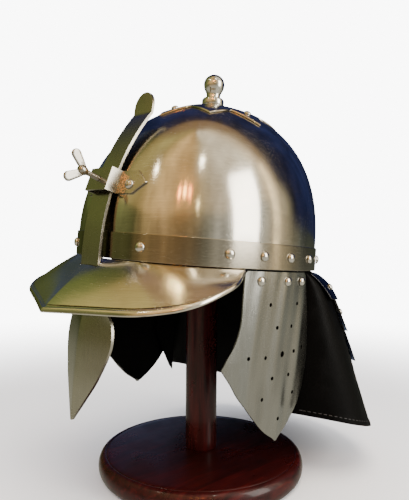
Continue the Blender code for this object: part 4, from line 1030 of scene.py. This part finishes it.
# Lit boards hung over the helmet: name, metres towards the camera, metres to its right, height, size across and towards,
# turn, tilt and spread of the light in degrees, power, colour
BOARDS = (("tan_board", 0.40, 0.05, 0.43, (1.1, 0.70), 0, 0, 180, 1.6, "#cda66c"),
          ("green_board", -0.30, -0.80, 0.50, (0.90, 0.90), 0, 0, 180, 0.60, "#6f7f3c"),
          ("amber_strip", 0.109, -0.047, 0.38, (0.012, 0.050), -35, -15, 24, 0.0014, "#ffe2a0"))


def floor_material():
    """Matt pale board that fades into the backdrop."""
    made, tree, shader = new_material("pale_floor")
    place = add(tree, COORDINATES, {}, "Object")
    fill(tree, shader, {"Base Color": linear("#f6f7fa"), "Roughness": 0.7})
    far = add(tree, "ShaderNodeVectorMath", {"operation": "LENGTH", 0: place}, "Value")
    fade = add(tree, RANGE, {**SMOOTHLY, "From Min": 0.35, "From Max": 1.3, "Value": far})
    clear = add(tree, "ShaderNodeBsdfTransparent", {})
    mixed = add(tree, "ShaderNodeMixShader", {0: fade, 1: shader.outputs[0], 2: clear})
    tree.links.new(mixed, tree.nodes["Material Output"].inputs["Surface"])
    return made


def room():
    """World: white to the camera; to everything else a warm room on the camera's side and a deep blue cloth behind."""
    world = bpy.data.worlds.new("room")
    bpy.context.scene.world = world
    world.use_nodes = True
    tree = world.node_tree
    tree.nodes.clear()
    ray = add(tree, COORDINATES, {}, "Generated")
    side, up = math.sin(CAMERA_BEARING), math.cos(CAMERA_BEARING)
    front, right, above = (add(tree, "ShaderNodeVectorMath", {"operation": "DOT_PRODUCT", 0: ray, 1: direction}, "Value")
                           for direction in ((side, -up, 0.0), (up, side, 0.0), (0.0, 0.0, 1.0)))
    times = {**COLOURS, "blend_type": "MULTIPLY", 0: 1.0}
    turn = add(tree, MATH, {"operation": "ARCTAN2", 0: right, 1: front})
    round_share = add(tree, MATH, {"operation": "MULTIPLY_ADD", 0: turn, 1: 1 / TAU, 2: 0.5})
    stops = [((degrees + 180) / 360, linear(colour)) for degrees, colour in ROOM_ROUND]
    walls = add(tree, RAMP, {"Fac": round_share, "stops": ("LINEAR", stops)})
    uprights = add(tree, MAPPING, {"Vector": ray, "Scale": (6.5, 6.5, 1.4)})
    clutter = add(tree, NOISE, {"Vector": uprights, "Scale": 1.0, "Detail": 4.0, "Roughness": 0.6, "Distortion": 0.5})
    things = add(tree, RAMP, {"Fac": clutter, "stops": ("EASE", ((0.36, grey(0.62)), (0.64, grey(1.15))))})
    warm = add(tree, MIX, {**times, 6: walls, 7: things}, 2)
    half_up = add(tree, MATH, {"operation": "MULTIPLY_ADD", 0: above, 1: 0.5, 2: 0.5})
    lit = add(tree, RAMP, {"Fac": half_up, "stops": ("EASE", [((up_at + 1) / 2, grey(share)) for up_at, share in ROOM_UP])})
    warm = add(tree, MIX, {**times, 6: warm, 7: lit}, 2)
    below = add(tree, RANGE, {"From Min": -0.02, "From Max": -0.35, "To Max": 0.75, "Value": above})
    warm = add(tree, MIX, {**COLOURS, 0: below, 6: warm, 7: linear("#8f8c82")}, 2)
    behind = add(tree, MATH, {"operation": "MULTIPLY_ADD", "use_clamp": True, 0: front, 1: -1.0, 2: 0.0})
    cloth = add(tree, RAMP, {"Fac": behind, "stops": ("EASE", [(place, linear(colour)) for place, colour in CLOTH])})
    hanging = add(tree, MAPPING, {"Vector": ray, "Scale": (11, 11, 2)})
    folds = add(tree, NOISE, {"Vector": hanging, "Scale": 1.0, "Detail": 3.0, "Roughness": 0.6})
    shades = add(tree, RAMP, {"Fac": folds, "stops": ("EASE", ((0.35, grey(0.5)), (0.7, grey(1.7))))})
    blue = add(tree, MIX, {**times, 6: cloth, 7: shades}, 2)

    def between(value, low, high, most=1.0):
        return add(tree, RANGE, {**SMOOTHLY, "From Min": low, "From Max": high, "To Max": most, "Value": value})

    # The warm room reaches farther round at its left, at its lower right, and as a dark hedge low on the far left
    reach = add(tree, MATH, {"operation": "ADD", 0: front, 1: between(right, -0.30, -0.62, 0.5)})
    for sideways, upwards in ROOM_REACHES:
        reach = add(tree, MATH, {**MULTIPLY_ADD, 0: between(right, *sideways), 1: between(above, *upwards), 2: reach})
    seen = add(tree, MIX, {**COLOURS, 0: between(reach, -0.11, 0.03), 6: blue, 7: warm}, 2)
    mirrored = add(tree, "ShaderNodeBackground", {"Strength": 2.7, "Color": seen})
    even = add(tree, "ShaderNodeBackground", {"Color": linear("#f4f6ff"), "Strength": 1.3})
    backdrop = add(tree, "ShaderNodeBackground", {"Color": linear("#ffffff"), "Strength": 9.0})
    rays = add(tree, "ShaderNodeLightPath", {}).node.outputs
    unseen = add(tree, "ShaderNodeMixShader", {0: rays["Is Diffuse Ray"], 1: mirrored, 2: even})
    both = add(tree, "ShaderNodeMixShader", {0: rays["Is Camera Ray"], 1: unseen, 2: backdrop})
    fill(tree, tree.nodes.new("ShaderNodeOutputWorld"), {"Surface": both})


# The room by degrees round from the camera, right is plus
ROOM_ROUND = ((-180, "#2a3018"), (-120, "#3f4524"), (-88, "#686a42"), (-68, "#47482a"), (-52, "#957f55"), (-30, "#a3875e"),
              (-6, "#7f6744"), (14, "#75654a"), (26, "#7c7a6b"), (38, "#a6a398"), (78, "#b2b0a5"), (90, "#b3a58b"),
              (102, "#7d7863"), (112, "#50554e"), (128, "#3b3f35"))
# How bright the room is by the sine of the elevation
ROOM_UP = ((-1.0, 0.9), (-0.25, 0.8), (-0.02, 0.60), (0.14, 0.72), (0.42, 0.88), (0.8, 1.10), (0.96, 1.30), (1.0, 1.2))
# How far the room reaches round: between which parts sideways, and by how much, and between which heights
ROOM_REACHES = (((0.3, 0.8, 0.16), (0.6, 0.2)), ((-0.15, -0.42, 1.2), (0.36, 0.16)), ((0.1, 0.4, 1.1), (0.08, -0.02)))
# The blue cloth, from beside the helmet to straight behind it
CLOTH = ((0.0, "#161a30"), (0.2, "#101225"), (0.55, "#171c38"), (0.9, "#171b32"), (1.0, "#59657c"))


def camera():
    """Camera placed by bearing, distance and height, then yaw, pitch and roll."""
    place = np.array((math.sin(CAMERA_BEARING) * CAMERA_DISTANCE, -math.cos(CAMERA_BEARING) * CAMERA_DISTANCE, CAMERA_HEIGHT))
    heading = CAMERA_BEARING + CAMERA_YAW
    ahead = np.array((-math.sin(heading), math.cos(heading), 0.0))
    right = np.cross(ahead, (0, 0, 1))
    view = ahead * math.cos(CAMERA_PITCH) - np.array((0, 0, 1)) * math.sin(CAMERA_PITCH)
    up = np.cross(right, view)
    c, s = math.cos(CAMERA_ROLL), math.sin(CAMERA_ROLL)
    right, up = right * c + up * s, up * c - right * s
    data = bpy.data.cameras.new("photo_camera")
    data.sensor_fit, data.sensor_height = "VERTICAL", SENSOR_HEIGHT
    data.lens = FOCAL_PIXELS * SENSOR_HEIGHT / FRAME_PIXELS
    data.clip_start = 0.01
    made = linked("photo_camera", data)
    turned = np.eye(4)
    turned[:3] = np.column_stack([right, up, -view, place])
    made.matrix_world = Matrix(turned.tolist())
    bpy.context.scene.camera = made


def main():
    round_steel = steel("polished_steel_round", "#d0cbbf", 0.15, "round", 0.000008, drawn=0.6)
    # Painted shade: the band's steel takes a darker colour than the skull's, standing in for the darker reflection
    # along the band.
    band_steel_painted_shade = steel("polished_steel_band_painted_shade", "#a8a192", 0.17, "round", 0.000010, drawn=0.3)
    peak_steel = steel("polished_steel_peak", "#e3ddd0", 0.17, "round", 0.000008, tarnish_share=0.10)
    strip_steel = steel("polished_steel_strip", "#bdb9ac", 0.24, "Z", 0.00001)
    # The cheek plates' darker colour is partly their brushed finish and partly painted shade that dims their mirroring
    # of the bright floor.
    cheek_steel_painted_shade = steel("brushed_steel_cheek", "#9c9d98", 0.23, "Z", 0.00004)
    # Painted shade: the tail lames' steel takes a far darker colour than the skull's, for lames that face away from the
    # light.
    tail_steel_painted_shade = steel("polished_steel_tail_painted_shade", "#46464a", 0.17, "round", 0.000008, drawn=0.4)
    screw_steel = steel("worn_steel_screw", "#a9a69d", 0.24, "Z", 0.000004, tarnish_share=0.3)
    bright = steel("bright_steel", "#dedbd2", 0.14, "Z", 0.000004, tarnish_share=0.15)
    black = leather("black_leather", "#040404", 0.42, 0.0005)
    skull(round_steel)
    brow_band(band_steel_painted_shade)
    band_rivets(bright)
    peak(peak_steel)
    nasal_guard(strip_steel)
    nasal_bracket(strip_steel)
    bracket_rivets(bright)
    wing_screw(screw_steel)
    crown_plate(round_steel)
    crown_rivets(bright)
    finial(bright)
    for side in (1, -1):
        cheek_plate(cheek_steel_painted_shade, bright, side)
        cheek_lining(black, side)
    neck_leather(black)
    stitches(thread_material())
    for number, row in enumerate(LAME_ROWS, 1):
        neck_lame(tail_steel_painted_shade, number, row)
    lame_rivets(bright)
    stand_base(mahogany("mahogany_base", (160.0, 14.0, 160.0)))
    stand_post(mahogany("mahogany_post", (170.0, 170.0, 12.0)))
    studio()


main()
